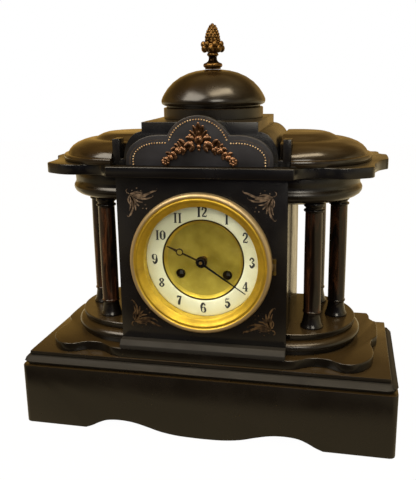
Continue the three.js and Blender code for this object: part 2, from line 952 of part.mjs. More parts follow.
function chapterRing() {
  const front = chapterFront;
  return turnedDeep([
    [chapterInner, dialFront - play],
    [chapterOuter, dialFront - play],
    [chapterOuter, front + chapterThick / 2],
    [(chapterOuter + chapterInner) / 2, front],
    [chapterInner, front + chapterThick / 3],
    [chapterInner, dialFront - play],
  ].reverse());
}

// Movement depths
const frontPlateFront = dialBack + plateSetback;
const frontPlateBack = frontPlateFront + plateThick;
const backPlateFront = frontPlateBack + plateSpace;
const backPlateBack = backPlateFront + plateThick;

// Wheel levels between the plates, as shares of the space from the front plate
const barrelShare = 0.04;
const greatShare = 0.47;
const escapeShare = 0.56;
const middleShare = 0.63;
const centreShare = 0.77;
const thirdShare = 0.9;
const flyShare = 0.25;

function levelOf(share) {
  return frontPlateBack + share * plateSpace;
}

// Depths of the motion work in front of the front plate
const cannonLevel = frontPlateFront - pinionLength;
const hourLevel = cannonLevel - pinionLength * motionStepShare;
const pipeInner = centreArbor + play;
const pipeOuter = pipeInner + tubeWall;
const hourHandLevel = chapterFront - hourHandGap;
const minuteHandLevel = hourHandLevel - handThick - minuteHandGap;

// Where a wheel lies that stands at one distance from a first centre and another from a second
function meshPoint([ax, az], fromA, [bx, bz], fromB, side) {
  const gap = Math.hypot(bx - ax, bz - az);
  const along = (fromA ** 2 - fromB ** 2 + gap ** 2) / (2 * gap);
  const off = side * Math.sqrt(Math.max(fromA ** 2 - along ** 2, 0));
  const ux = (bx - ax) / gap;
  const uz = (bz - az) / gap;
  return [ax + along * ux - off * uz, az + along * uz + off * ux];
}

const centrePoint = [0, 0];
const goingPoint = [windX, windZ];
const strikePoint = [-windX, windZ];
const greatReach = greatPitch + greatPinionPitch;
const middlePoint = meshPoint(centrePoint, middlePitch + centrePinionPitch, goingPoint, greatReach, 1);
const escapePoint = [0, escapeRise];
const thirdReach = thirdPitch + escapePinionPitch;
const thirdPoint = meshPoint(centrePoint, centrePitch + thirdPinionPitch, escapePoint, thirdReach, 1);
const anchorPoint = [0, anchorRise];
const minutePoint = [0, minutePitch + cannonPitch];
const pinWheelTurn = 1.937; // direction of the pin wheel from the strike barrel
const pinWheelPoint = [
  strikePoint[0] + greatReach * Math.cos(pinWheelTurn),
  strikePoint[1] + greatReach * Math.sin(pinWheelTurn),
];
const flyTurn = 2.41; // direction of the fly from the pin wheel
const flyReach = pinWheelPitch + flyPinionPitch;
const flyPoint = [
  pinWheelPoint[0] + flyReach * Math.cos(flyTurn),
  pinWheelPoint[1] + flyReach * Math.sin(flyTurn),
];
const hammerPoint = [hammerX, hammerZ];

function bearing([ax, az], [bx, bz]) {
  return Math.atan2(bz - az, bx - ax);
}

// Tooth flanks, as shares of the angular pitch, half widths at root and tip
const rootHalfShare = 0.27;
const tipHalfShare = 0.08;

// A toothed outline with the middle of one tooth (or of one gap) at the given bearing
function toothed(teeth, pitchRadius, aim, gapAtAim = false) {
  const step = full / teeth;
  const height = (toothShare * 2 * pitchRadius) / teeth;
  const tip = pitchRadius + height;
  const root = pitchRadius - height * rootShare;
  const start = aim + (gapAtAim ? step / 2 : 0);
  const corners = gapAtAim
    ? [
        [root, -rootHalfShare],
        [tip, -tipHalfShare],
        [tip, tipHalfShare],
        [root, rootHalfShare],
      ]
    : [
        [tip, 0],
        [root, 1 / 2],
      ];
  const points = [];
  for (let i = 0; i < teeth; i++) {
    const middle = start + i * step;
    for (const [radius, share] of corners) {
      const angle = middle + share * step;
      points.push([radius * Math.cos(angle), radius * Math.sin(angle)]);
    }
  }
  return shapeOf(points);
}

// Crossed-out wheel: rim, spokes and hub cut from one sheet
function crossings(shape, inner, outer, spokes, spokeWidth) {
  for (let i = 0; i < spokes; i++) {
    const middle = ((i + 0.5) * full) / spokes;
    const halfOuter = Math.PI / spokes - spokeWidth / 2 / outer;
    const halfInner = Math.PI / spokes - spokeWidth / 2 / inner;
    const hole = [
      ...arcPoints(0, 0, outer, outer, middle - halfOuter, middle + halfOuter, 2),
      ...arcPoints(0, 0, inner, inner, middle + halfInner, middle - halfInner, 1),
    ];
    shape.holes.push(new THREE.Path(hole.map(([x, y]) => new THREE.Vector2(x, y))));
  }
  return shape;
}

function wheel(teeth, pitchRadius, aim, level, spokes = 5) {
  const shape = toothed(teeth, pitchRadius, aim);
  const module = (2 * pitchRadius) / teeth;
  crossings(shape, hubRadius + tubeWall, pitchRadius - module * rimShare, spokes, tubeWall * spokeShare);
  return runBack(shape, level - wheelThick / 2, level + wheelThick / 2);
}

function pinion(teeth, pitchRadius, aim, level, length = pinionLength) {
  return runBack(toothed(teeth, pitchRadius, aim, true), level - length / 2, level + length / 2);
}

function hub(radius, level) {
  return bar(radius, level - wheelThick, level + wheelThick);
}

function arbor(radius = arborRadius, front = frontPlateFront, back = backPlateBack) {
  return bar(radius, front, back);
}

function pivotHoles(front, back) {
  const plain = [middlePoint, thirdPoint, escapePoint, pinWheelPoint, flyPoint, hammerPoint];
  return [
    ...plain.map(([x, z]) => bar(arborRadius + play, front, back, x, z)),
    bar(centreArbor + play, front, back),
    bar(barrelArbor + play, front, back, ...goingPoint),
    bar(barrelArbor + play, front, back, ...strikePoint),
  ];
}

// Front plate with its riveted pillars, stop-cut for the pivots, and the minute wheel's stud
function movementFrontPlate() {
  const disc = bar(plateRadius, frontPlateFront, frontPlateBack, 0, 0, smallSides);
  const rightAngles = [upperPillarAngle, lowerPillarAngle];
  const pillars = [...rightAngles, ...rightAngles.map((angle) => Math.PI - angle)].map((angle) => {
    const x = pillarRing * Math.cos(angle);
    const z = pillarRing * Math.sin(angle);
    return bar(pillarRadius, frontPlateFront + plateThick / 2, backPlateFront - play, x, z, pillarSides);
  });
  const stud = bar(rodRadius, hourLevel - pinionLength / 2, frontPlateFront + plateThick / 2, ...minutePoint);
  const front = frontPlateFront - overrun;
  const anchorHole = bar(arborRadius + play, front, frontPlateBack + play, ...anchorPoint);
  const body = cut(disc, ...pivotHoles(front, frontPlateBack + overrun), anchorHole);
  return join(body, ...pillars, stud);
}

// Back plate, cut away round the anchor's arbor
function movementBackPlate() {
  const disc = bar(plateRadius, backPlateFront, backPlateBack, 0, 0, smallSides);
  const front = backPlateFront - overrun;
  const back = backPlateBack + overrun;
  const anchorHole = bar(arborRadius * anchorHoleShare, front, back, ...anchorPoint, holeSides);
  return cut(disc, ...pivotHoles(front, back), anchorHole);
}

// Spring barrel: drum, great wheel, arbor and winding square
function barrel(pinionBearing) {
  const drumFront = levelOf(barrelShare);
  const great = levelOf(greatShare);
  const outline = toothed(greatTeeth, greatPitch, pinionBearing);
  const teeth = runBack(outline, great - greatThick / 2, great + greatThick / 2);
  const drum = bar(barrelBody, drumFront, great, 0, 0, smallSides);
  const shaft = arbor(barrelArbor, frontPlateFront - windSquare);
  const half = windSquare / 2;
  const squareFront = dialBack + dishDepth + windGap;
  const square = block([-half, squareFront, -half], [half, frontPlateFront - windSquare / 2, half]);
  return join(teeth, drum, shaft, square);
}

function middleWheel() {
  const toCentre = bearing(middlePoint, centrePoint);
  const toBarrel = bearing(middlePoint, goingPoint);
  return join(
    wheel(middleTeeth, middlePitch, toCentre, levelOf(middleShare)),
    pinion(greatPinionTeeth, greatPinionPitch, toBarrel, levelOf(greatShare), greatPinionLength),
    arbor(),
    hub(hubRadius, levelOf(middleShare)),
  );
}

// Centre arbor: pinion, centre wheel, cannon pinion and the long front end that carries the minute hand
function centreWheel() {
  return join(
    wheel(centreTeeth, centrePitch, bearing(centrePoint, thirdPoint), levelOf(centreShare)),
    pinion(centrePinionTeeth, centrePinionPitch, bearing(centrePoint, middlePoint), levelOf(middleShare)),
    pinion(cannonTeeth, cannonPitch, bearing(centrePoint, minutePoint), cannonLevel),
    bar(centreArbor, minuteHandLevel - handThick * 2, backPlateBack),
    hub(hubRadius, levelOf(centreShare)),
  );
}

function thirdWheel() {
  const thirdLevel = levelOf(thirdShare);
  return join(
    wheel(thirdTeeth, thirdPitch, bearing(thirdPoint, escapePoint), thirdLevel, 4),
    pinion(thirdPinionTeeth, thirdPinionPitch, bearing(thirdPoint, centrePoint), levelOf(centreShare)),
    arbor(),
    bar(hubRadius * smallHubShare, thirdLevel - wheelThick, thirdLevel + wheelThick / 2),
  );
}

// One raked, pointed tooth of the escape wheel, as shares of its tip radius and of the pitch
const escapeToothShares = [
  [0.8, -0.32],
  [1, -0.05],
  [1, 0.03],
  [0.8, 0.12],
];
const escapeRimShare = 0.68;

function escapeOutline() {
  const step = full / escapeTeeth;
  const points = [];
  for (let i = 0; i < escapeTeeth; i++) {
    const middle = quarter + (i + 0.5) * step;
    for (const [r, share] of escapeToothShares) {
      const angle = middle + share * step;
      points.push([r * escapeRadius * Math.cos(angle), r * escapeRadius * Math.sin(angle)]);
    }
  }
  return shapeOf(points);
}

function escapeWheel() {
  const shape = crossings(escapeOutline(), hubRadius + tubeWall, escapeRadius * escapeRimShare, 4, tubeWall);
  const level = levelOf(escapeShare);
  return join(
    runBack(shape, level - wheelThick / 2, level + wheelThick / 2),
    pinion(escapePinionTeeth, escapePinionPitch, bearing(escapePoint, thirdPoint), levelOf(thirdShare)),
    arbor(),
    hub(hubRadius, level),
  );
}

// An anchor's arm, as shares of the arbor's radius: its crown and crotch on the middle line, its outer
// shoulder and inner back measured from the pallet, and the width of the pallet's nib
const anchorCrownShare = 2;
const anchorCrotchShare = 1.4;
const shoulderShares = [2, 3.2];
const innerShares = [-0.4, 3];
const nibShare = 0.6;
const palletReachShare = 1.06; // the pallet's tip beyond the wheel's tip circle

// Anchor: two arms down to pallets at 45 degrees each side of the escape wheel, arbor, and the crutch behind
function anchor() {
  const level = levelOf(escapeShare);
  const drop = anchorRise - escapeRise;
  const palletX = escapeRadius * Math.SQRT1_2;
  const palletZ = palletX - drop;
  const width = arborRadius;
  const tipX = palletX * palletReachShare;
  const arms = [
    [0, width * anchorCrownShare],
    [palletX + width * shoulderShares[0], palletZ + width * shoulderShares[1]],
    [tipX, palletZ + play * 2],
    [tipX - width * nibShare, palletZ + play * 4],
    [palletX + width * innerShares[0], palletZ + width * innerShares[1]],
    [0, -width * anchorCrotchShare],
  ];
  const left = arms.slice(1, -1).map(([x, z]) => [-x, z]).reverse();
  const body = runBack(shapeOf([...arms, ...left]), level - anchorThick / 2, level + anchorThick / 2);
  const crutchFront = backPlateBack + crutchGap;
  const rodLevel = backPlateBack + rodSetback;
  const half = rodRadius + play + tubeWall / 2;
  const crutch = block([-width, crutchFront, -crutchLength], [width, crutchFront + tubeWall, arborRadius]);
  const forkTop = -crutchLength + tubeWall * 2;
  const fork = block([-half, crutchFront, -crutchLength], [half, rodLevel + rodRadius, forkTop]);
  const slot = block(
    [-rodRadius - play, rodLevel - rodRadius - play * 2, -crutchLength - overrun],
    [rodRadius + play, rodLevel + rodRadius + overrun, -crutchLength + overrun],
  );
  const pivot = bar(arborRadius, frontPlateFront + plateThick / 4, crutchFront + tubeWall * 2);
  return join(body, pivot, crutch, cut(fork, slot));
}

// Lens-shaped bob, as shares of its radius and half thickness
const bobShares = [
  [0, -1],
  [0.55, -0.8],
  [0.94, -0.25],
  [1, 0],
  [0.94, 0.25],
  [0.55, 0.8],
  [0, 1],
];

// Pendulum: suspension chops, rod and bob, with the rating nut on its screw
function pendulum() {
  const rod = new THREE.CylinderGeometry(rodRadius, rodRadius, bobDrop, rodSides).rotateX(quarter);
  const chops = block([-rodRadius * 2, -rodRadius, -chopsHeight], [rodRadius * 2, rodRadius, -play]);
  const bob = turnedDeep(scaled(bobShares, bobRadius, bobThick / 2), smallSides).translate(0, 0, -bobDrop);
  const nutRadius = rodRadius * 2;
  const nut = new THREE.CylinderGeometry(nutRadius, nutRadius, tubeWall * 2, pillarSides).rotateX(quarter);
  const stem = new THREE.CylinderGeometry(rodRadius, rodRadius, bobRadius, rodSides).rotateX(quarter);
  return join(
    rod.translate(0, 0, -bobDrop / 2 - play),
    chops,
    bob,
    stem.translate(0, 0, -bobDrop - bobRadius * stemShare),
    nut.translate(0, 0, -bobDrop - bobRadius - tubeWall),
  );
}

// Suspension cock: a bridge on the back plate that carries the suspension spring behind it
function suspensionCock() {
  const front = backPlateBack + play;
  const rodLevel = backPlateBack + rodSetback;
  const bridgeFront = rodLevel - rodRadius - cockThick - cockGap;
  const bridge = block([-cockHalf, bridgeFront, cockFloor], [cockHalf, bridgeFront + cockThick, cockTop]);
  const inner = cockHalf - cockFootWidth;
  const feet = [-1, 1].map((side) => {
    const [low, high] = side < 0 ? [-cockHalf, -inner] : [inner, cockHalf];
    return block([low, front, cockFloor], [high, bridgeFront + cockThick / 2, cockFootTop]);
  });
  const nose = block([-cockThick, bridgeFront, cockFootTop], [cockThick, rodLevel + rodRadius, cockTop]);
  const spring = block([-springHalf, rodLevel - play, play / 2], [springHalf, rodLevel + play, springTop]);
  return join(bridge, ...feet, nose, spring);
}

function minuteWheel() {
  const bore = bar(rodRadius + play, hourLevel - pinionLength / 2 - overrun, frontPlateFront);
  const length = cannonLevel - hourLevel + pinionLength / 2;
  const toCentre = bearing(minutePoint, centrePoint);
  const body = join(
    wheel(minuteTeeth, minutePitch, toCentre, cannonLevel),
    pinion(minutePinionTeeth, minutePinionPitch, toCentre, cannonLevel - length / 2, length),
    hub(hubRadius, cannonLevel),
  );
  return cut(body, bore);
}

// Hour wheel on a pipe that carries the hour hand
function hourWheel() {
  const front = hourHandLevel - handThick - play;
  const back = hourLevel + wheelThick * 2;
  const body = join(
    wheel(hourTeeth, hourPitch, bearing(centrePoint, minutePoint), hourLevel),
    bar(pipeOuter, front, back, 0, 0, holeSides),
    hub(hubRadius + tubeWall, hourLevel),
  );
  return cut(body, bar(pipeInner, front - overrun, back + overrun, 0, 0, pillarSides));
}

// Pin wheel: its pins lift the hammer's tail as it turns
function pinWheel() {
  const level = levelOf(middleShare);
  const pinRing = pinWheelPitch * pinRingShare;
  const pinBack = level + wheelThick / 2 + pinionLength;
  const pins = Array.from({ length: liftPins }, (_, i) => {
    const angle = (i * full) / liftPins + quarter / 2;
    return bar(liftPinRadius, level, pinBack, pinRing * Math.cos(angle), pinRing * Math.sin(angle), nutSides);
  });
  const disc = toothed(pinWheelTeeth, pinWheelPitch, bearing(pinWheelPoint, flyPoint));
  const toStrike = bearing(pinWheelPoint, strikePoint);
  return join(
    runBack(disc, level - wheelThick / 2, level + wheelThick / 2),
    pinion(greatPinionTeeth, greatPinionPitch, toStrike, levelOf(greatShare), greatPinionLength),
    arbor(),
    ...pins,
  );
}

// Fly: an air brake with two vanes
function fly() {
  const level = levelOf(flyShare);
  const low = [-vaneHalf, level - vaneReach, -vaneHalfThick];
  const vane = block(low, [vaneHalf, level + vaneReach, vaneHalfThick]);
  return join(
    pinion(flyPinionTeeth, flyPinionPitch, bearing(flyPoint, pinWheelPoint), levelOf(middleShare)),
    arbor(),
    vane,
  );
}

const bellFront = backPlateBack + bellSetback;
const bellBack = bellFront + bellDepth;

// A flat arm between two points of the front plane
function arm(from, to, width, front, back) {
  const length = Math.hypot(to[0] - from[0], to[1] - from[1]);
  const strip = block([0, front, -width / 2], [length, back, width / 2]);
  return strip.rotateY(-bearing(from, to)).translate(from[0], 0, from[1]);
}

// Hammer: arbor between the plates, a tail near the pin wheel, and a head beside the bell's rim
function hammer() {
  const tailLevel = levelOf(middleShare) + wheelThick / 2 + pinionLength * tailShare;
  const toPins = bearing(hammerPoint, pinWheelPoint);
  const reach = Math.hypot(pinWheelPoint[0] - hammerX, pinWheelPoint[1] - hammerZ) - pinWheelPitch;
  const tailEnd = [reach * Math.cos(toPins), reach * Math.sin(toPins)];
  const head = [hammerHeadX - hammerX, hammerHeadZ - hammerZ];
  const armFront = bellFront + tubeWall;
  const armBack = armFront + standThick;
  return join(
    bar(arborRadius, frontPlateFront, armBack + play),
    arm([0, 0], tailEnd, tailWidth, tailLevel - tubeWall / 2, tailLevel + tubeWall / 2),
    bar(hubRadius * tailHubShare, tailLevel - tubeWall, tailLevel + tubeWall),
    arm([0, 0], head, hammerArmWidth, armFront, armBack),
    bar(hammerHead, armFront - hammerHead, armBack + hammerHead / 2, ...head, holeSides),
    bar(hubRadius * tailHubShare, armFront - play, armBack + play),
  );
}

// Bell section from the mouth to the crown, as shares of its radius and depth
const bellHoleShare = 0.06;
const bellShares = [
  [1, 0],
  [0.94, 0.4],
  [0.8, 0.78],
  [0.5, 1],
  [bellHoleShare, 1],
];

// Bell: a thin cup with its mouth towards the movement
function bell() {
  const skin = bellShares.map(([r, d]) => [r * bellRadius, bellFront + d * bellDepth]);
  const hole = bellRadius * bellHoleShare;
  const inside = bellShares.map(([r, d]) => {
    return [Math.max(r * bellRadius - bellWall, hole), bellFront + d * (bellDepth - bellWall)];
  });
  return turnedDeep([...skin, ...inside.reverse(), skin[0]], smallSides);
}

// Bell stand: a foot on the back plate, a bar past the rim and an arm behind the bell, with its screw
function bellStand() {
  const x = bellRadius + standWidth * standGapShare;
  const z = -windRadius * standDropShare;
  const front = backPlateBack + play;
  const armFront = bellBack + play;
  const armBack = armFront + standThick;
  const half = standWidth / 2;
  const hole = bellRadius * bellHoleShare;
  const post = block([x - half, front, z - half], [x + half, armBack, z + half]);
  const footInner = x - standWidth * standFootShare;
  const foot = block([footInner, front, z - half], [x + half, front + standThick, z + half]);
  const cross = arm([x, z], [0, 0], standWidth, armFront, armBack);
  const screw = bar(hole - play, bellBack - bellWall * 2, armBack + standThick);
  const nut = bar(hole * 2, armBack - play, armBack + standThick, 0, 0, nutSides);
  return join(post, foot, cross, screw, nut);
}

// Strap from the dial ring to the rear ring
function strap(side) {
  const half = strapWidth / 2;
  const front = dialBack + play;
  const back = bodyBack + rearFlangeThick / 2;
  const bare = block([strapRing - strapThick, front, -half], [strapRing, back, half]);
  return bare.rotateY(side < 0 ? Math.PI - strapAngle : strapAngle);
}

// Rear ring: tube through the back panel, flange behind it, knuckles and pin
const rearFlangeFront = bodyBack + play;
const rearFlangeBack = rearFlangeFront + rearFlangeThick;
const rearDoorFront = rearFlangeBack + play;
const rearHingeY = rearDoorFront + knuckleRadius / 2;
const rearHingeX = rearFlange + knuckleRadius + play;

function rearRing() {
  const tubeOuter = doorHole - play;
  const tubeInner = tubeOuter - ringWall;
  const ring = turnedDeep([
    [tubeInner, bodyBack - panelThick],
    [tubeOuter, bodyBack - panelThick],
    [tubeOuter, rearFlangeFront],
    [rearFlange, rearFlangeFront],
    [rearFlange, rearFlangeBack],
    [tubeInner, rearFlangeBack],
    [tubeInner, bodyBack - panelThick],
  ], doorSides);
  const low = knuckleLength / 2 + play;
  const high = low + knuckleLength * outerKnuckleShare;
  const reach = rearFlange - tabGrip;
  const upper = knuckle(rearHingeX, rearHingeY, low, high, reach, rearFlangeFront, rearFlangeBack);
  const lower = knuckle(rearHingeX, rearHingeY, -high, -low, reach, rearFlangeFront, rearFlangeBack);
  return join(ring, ...upper, ...lower, hingePin(rearHingeX, rearHingeY, -high, high));
}

// Rear door: a dished brass cover with sound holes and a knob
function rearDoor() {
  const back = rearDoorFront + rearDoorThick;
  const dish = turnedDeep([
    [0, rearDoorFront - rearDoorDish],
    [rearDoorRadius * doorFloorShare, rearDoorFront - rearDoorDish],
    [rearDoorRadius * doorLipShare, rearDoorFront],
    [rearDoorRadius, rearDoorFront],
    [rearDoorRadius, back],
    [rearDoorRadius * doorBackLipShare, back],
    [rearDoorRadius * doorBackFloorShare, back - rearDoorDish],
    [0, back - rearDoorDish],
  ], doorSides);
  const half = knuckleLength / 2;
  const hinge = knuckle(rearHingeX, rearHingeY, -half, half, rearDoorRadius - tabGrip, rearDoorFront, back);
  const knob = bar(knobRadius, back - play, back + knobLength, -rearDoorRadius * knobShare, 0, holeSides);
  const front = rearDoorFront - rearDoorDish - overrun;
  const ring = rearDoorRadius * soundRingShare;
  const holes = Array.from({ length: soundHoles }, (_, i) => {
    const angle = (i * full) / soundHoles;
    return bar(knobRadius, front, back + overrun, ring * Math.cos(angle), ring * Math.sin(angle));
  });
  const bore = hingeBore(rearHingeX, rearHingeY, -half - overrun, half + overrun);
  return cut(join(dish, ...hinge, knob), bore, ...holes);
}

// Hands, drawn pointing up
function handPlate(shape, level) {
  return runBack(shape, level - handThick, level, 5);
}

function ringShape(outer, inner, rise) {
  const shape = shapeOf(arcPoints(0, rise, outer, outer, 0, full, pillarSides).slice(0, -1));
  const hole = arcPoints(0, rise, inner, inner, 0, full, rodSides).slice(0, -1);
  shape.holes.push(new THREE.Path(hole.map(([x, y]) => new THREE.Vector2(x, y))));
  return shape;
}

function taper(from, to, fromWidth, toWidth) {
  return shapeOf([
    [-fromWidth / 2, from],
    [fromWidth / 2, from],
    [toWidth / 2, to],
    [-toWidth / 2, to],
  ]);
}

function hourHand() {
  const level = hourHandLevel;
  const bore = pipeOuter + play;
  const ringFoot = ringRise - ringRadius + ringBar / 2;
  const ringTop = ringRise + ringRadius - ringBar / 2;
  const body = join(
    handPlate(ringShape(hourHub, bore, 0), level),
    handPlate(taper(hourHub - handWidth / 2, ringFoot, handWidth, handWidth), level),
    handPlate(ringShape(ringRadius, ringRadius - ringBar, ringRise), level),
    handPlate(taper(ringTop, hourHandLength, handWidth + ringBar, handTip), level),
  );
  return cut(body, bar(bore, level - overrun, level + overrun, 0, 0, holeSides));
}

function minuteHand() {
  const level = minuteHandLevel;
  const bore = centreArbor + play;
  const body = join(
    handPlate(ringShape(minuteHub, bore, 0), level),
    handPlate(taper(minuteHub - handWidth / 2, minuteHandLength, handWidth + ringBar / 2, handTip), level),
  );
  return cut(body, bar(bore, level - overrun, level + overrun, 0, 0, holeSides));
}

// Materials
function material(color, roughness, metalness = 0) {
  return new THREE.MeshStandardMaterial({ color, roughness, metalness });
}

const slate = () => material(0x1b1a19, 0.32);
const marble = () => material(0x3a2318, 0.3);
const brass = () => material(0xc9a227, 0.28, 1);
const oldBrass = () => material(0x8f7430, 0.42, 1);
const steel = () => material(0x8b8d90, 0.35, 1);
const bronze = () => material(0x7a5230, 0.4, 1);
const enamel = () => material(0xe3e2c4, 0.35);
const glass = () => material(0xdfe8ea, 0.05);
const blued = () => material(0x15161c, 0.35, 1);

function piece(group, name, geometry, finish, x = 0, y = 0, z = 0) {
  const mesh = new THREE.Mesh(geometry, finish);
  mesh.name = name;
  mesh.position.set(x, y, z);
  group.add(mesh);
  return mesh;
}

// The whole clock. The colonnade's axis is set back so that the origin lies under the middle of the case.
const clock = new THREE.Group();
const stone = new THREE.Group();
stone.position.y = (baseFront - caseBack) / 2;
clock.add(stone);

const sides = [
  ["left", -1],
  ["right", 1],
];

piece(stone, "base_front_slab", baseFrontSlab(), slate());
piece(stone, "base_back_slab", baseBackSlab(), slate());
piece(stone, "base_lid_slab", baseLid(), slate());
piece(stone, "step_slab", stepSlab(), slate());
piece(stone, "shaped_plate", shapedPlate(), slate());
piece(stone, "body_sole", bodySole(), slate());
piece(stone, "front_panel", frontPanel(), slate());
piece(stone, "back_panel", backPanel(), slate());
piece(stone, "cornice_slab", corniceSlab(), slate());
piece(stone, "pediment_block", pedimentBlock(), slate(), 0, 0, roofLevel + seam);
piece(stone, "pediment_relief", pedimentRelief(), slate(), 0, 0, roofLevel + seam);
piece(stone, "dome_drum", domeDrum(), slate(), 0, 0, drumLevel + seam * 2);
piece(stone, "dome", dome(), slate(), 0, 0, domeLevel + seam * 3);
piece(stone, "finial", finial(), bronze(), 0, 0, finialLevel + seam * 4);
const mountBack = -blockFront - reliefProud - seam;
piece(stone, "pediment_mount", pedimentMount(), bronze(), mountShift, mountBack, roofLevel + mountRise);

for (const [name, side] of sides) {
  const axis = side < 0 ? -bodyHalfWidth : bodyHalfWidth;
  const footFloor = soleLevel + seam;
  const footTop = footFloor + footHeight;
  piece(stone, name + "_base_side_slab", baseSideSlab(side), slate());
  piece(stone, name + "_side_panel", sidePanel(side), slate());
  const foot = halfTurned(footShares, footRadius, footHeight, side);
  piece(stone, name + "_foot_disc", foot, slate(), axis, 0, footFloor);
  const capital = halfTurned(capitalShares, capitalRadius, capitalHeight - seam * 2, side);
  piece(stone, name + "_capital_disc", capital, slate(), axis, 0, corniceLevel - capitalHeight + seam * 2);
  piece(stone, name + "_wing_cap", wingCap(side), slate(), axis, 0, roofLevel + seam);
  ["front", "middle", "rear"].forEach((place, i) => {
    const angle = (i - 1) * columnSpread;
    const x = axis + side * columnRing * Math.cos(angle);
    const y = columnRing * Math.sin(angle);
    piece(stone, name + "_" + place + "_column", column(), marble(), x, y, footTop + seam);
  });
}

const dial = new THREE.Group();
dial.position.z = dialLevel;
stone.add(dial);
piece(dial, "front_bezel", frontBezel(), brass());
piece(dial, "bezel_glass", bezelGlass(), glass());
piece(dial, "dial_ring", dialRing(), oldBrass());
piece(dial, "dial_plate", dialPlate(), brass());
piece(dial, "chapter_ring", chapterRing(), enamel());
piece(dial, "hour_hand", hourHand(), blued()).rotation.y = -handTurnHour;
piece(dial, "minute_hand", minuteHand(), blued()).rotation.y = -handTurnMinute;
piece(dial, "rear_ring", rearRing(), oldBrass());
piece(dial, "rear_door", rearDoor(), brass());
piece(dial, "left_strap", strap(-1), oldBrass());
piece(dial, "right_strap", strap(1), oldBrass());

const movement = new THREE.Group();
movement.position.z = dialLevel;
stone.add(movement);

function inMovement(name, geometry, finish, [x, z] = centrePoint) {
  piece(movement, name, geometry, finish, x, 0, z);
}

inMovement("movement_front_plate", movementFrontPlate(), brass());
inMovement("movement_back_plate", movementBackPlate(), brass());
inMovement("going_barrel", barrel(bearing(goingPoint, middlePoint)), brass(), goingPoint);
inMovement("strike_barrel", barrel(bearing(strikePoint, pinWheelPoint)), brass(), strikePoint);
inMovement("intermediate_wheel", middleWheel(), brass(), middlePoint);
inMovement("centre_wheel", centreWheel(), brass());
inMovement("third_wheel", thirdWheel(), brass(), thirdPoint);
inMovement("escape_wheel", escapeWheel(), brass(), escapePoint);
inMovement("anchor", anchor(), steel(), anchorPoint);
inMovement("minute_wheel", minuteWheel(), brass(), minutePoint);
inMovement("hour_wheel", hourWheel(), brass());
inMovement("pin_wheel", pinWheel(), brass(), pinWheelPoint);
inMovement("fly", fly(), brass(), flyPoint);
inMovement("hammer", hammer(), steel(), hammerPoint);
inMovement("bell", bell(), brass());
inMovement("bell_stand", bellStand(), steel());
inMovement("suspension_cock", suspensionCock(), brass(), anchorPoint);
piece(movement, "pendulum", pendulum(), brass(), 0, backPlateBack + rodSetback, anchorRise);

export default clock;
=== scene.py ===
from math import acos, cos, pi, radians, sin, sqrt
import bpy
from mathutils import Matrix, Vector


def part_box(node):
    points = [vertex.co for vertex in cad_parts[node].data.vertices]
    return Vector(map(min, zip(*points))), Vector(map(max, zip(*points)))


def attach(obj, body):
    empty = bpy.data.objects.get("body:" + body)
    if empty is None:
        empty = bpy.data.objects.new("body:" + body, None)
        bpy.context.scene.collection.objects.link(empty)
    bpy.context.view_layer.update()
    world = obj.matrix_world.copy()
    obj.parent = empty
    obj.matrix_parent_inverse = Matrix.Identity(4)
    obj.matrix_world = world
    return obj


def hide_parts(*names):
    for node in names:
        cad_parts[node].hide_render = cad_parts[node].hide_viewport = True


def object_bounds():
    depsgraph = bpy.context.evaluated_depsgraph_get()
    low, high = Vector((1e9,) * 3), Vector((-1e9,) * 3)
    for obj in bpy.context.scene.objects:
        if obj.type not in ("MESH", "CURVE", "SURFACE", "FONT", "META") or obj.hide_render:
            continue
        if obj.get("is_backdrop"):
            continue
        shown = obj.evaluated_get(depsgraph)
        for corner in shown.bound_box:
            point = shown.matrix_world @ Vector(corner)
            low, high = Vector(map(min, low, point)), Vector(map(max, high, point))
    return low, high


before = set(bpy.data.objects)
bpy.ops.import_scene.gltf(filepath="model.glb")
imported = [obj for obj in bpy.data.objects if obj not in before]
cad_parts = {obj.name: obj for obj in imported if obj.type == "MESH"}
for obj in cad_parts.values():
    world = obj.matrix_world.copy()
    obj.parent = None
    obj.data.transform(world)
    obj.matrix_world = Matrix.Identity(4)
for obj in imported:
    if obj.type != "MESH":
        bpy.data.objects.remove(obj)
cad_box = [list(corner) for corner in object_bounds()]


# Camera. It stands 0.8 m away, to the right of the clock and above it, and looks slightly down.
# Its place, turn and focal length were fitted to the photograph.
MM = 0.001
CAMERA_AT = (147.7 * MM, -700.7 * MM, 386.0 * MM)
CAMERA_YAW = radians(12.69)
CAMERA_PITCH = radians(13.70)
CAMERA_ROLL = radians(-0.97)
FOCAL_PIXELS = 650.8
PHOTO_WIDTH, PHOTO_HEIGHT = 416, 480
AXIS_X, AXIS_Y = 204.0, 232.7

lens = bpy.data.cameras.new("photo_view")
lens.sensor_width = 36
lens.lens = FOCAL_PIXELS * lens.sensor_width / PHOTO_HEIGHT
lens.shift_x = (PHOTO_WIDTH / 2 - AXIS_X) / PHOTO_HEIGHT
lens.shift_y = (AXIS_Y - PHOTO_HEIGHT / 2) / PHOTO_HEIGHT
camera = bpy.data.objects.new("photo_view", lens)
camera.matrix_world = (
    Matrix.Translation(CAMERA_AT) @ Matrix.Rotation(CAMERA_YAW, 4, "Z")
    @ Matrix.Rotation(pi / 2 - CAMERA_PITCH, 4, "X") @ Matrix.Rotation(CAMERA_ROLL, 4, "Z"))
bpy.context.scene.collection.objects.link(camera)
bpy.context.scene.camera = camera
bpy.context.scene.view_settings.view_transform = "Standard"


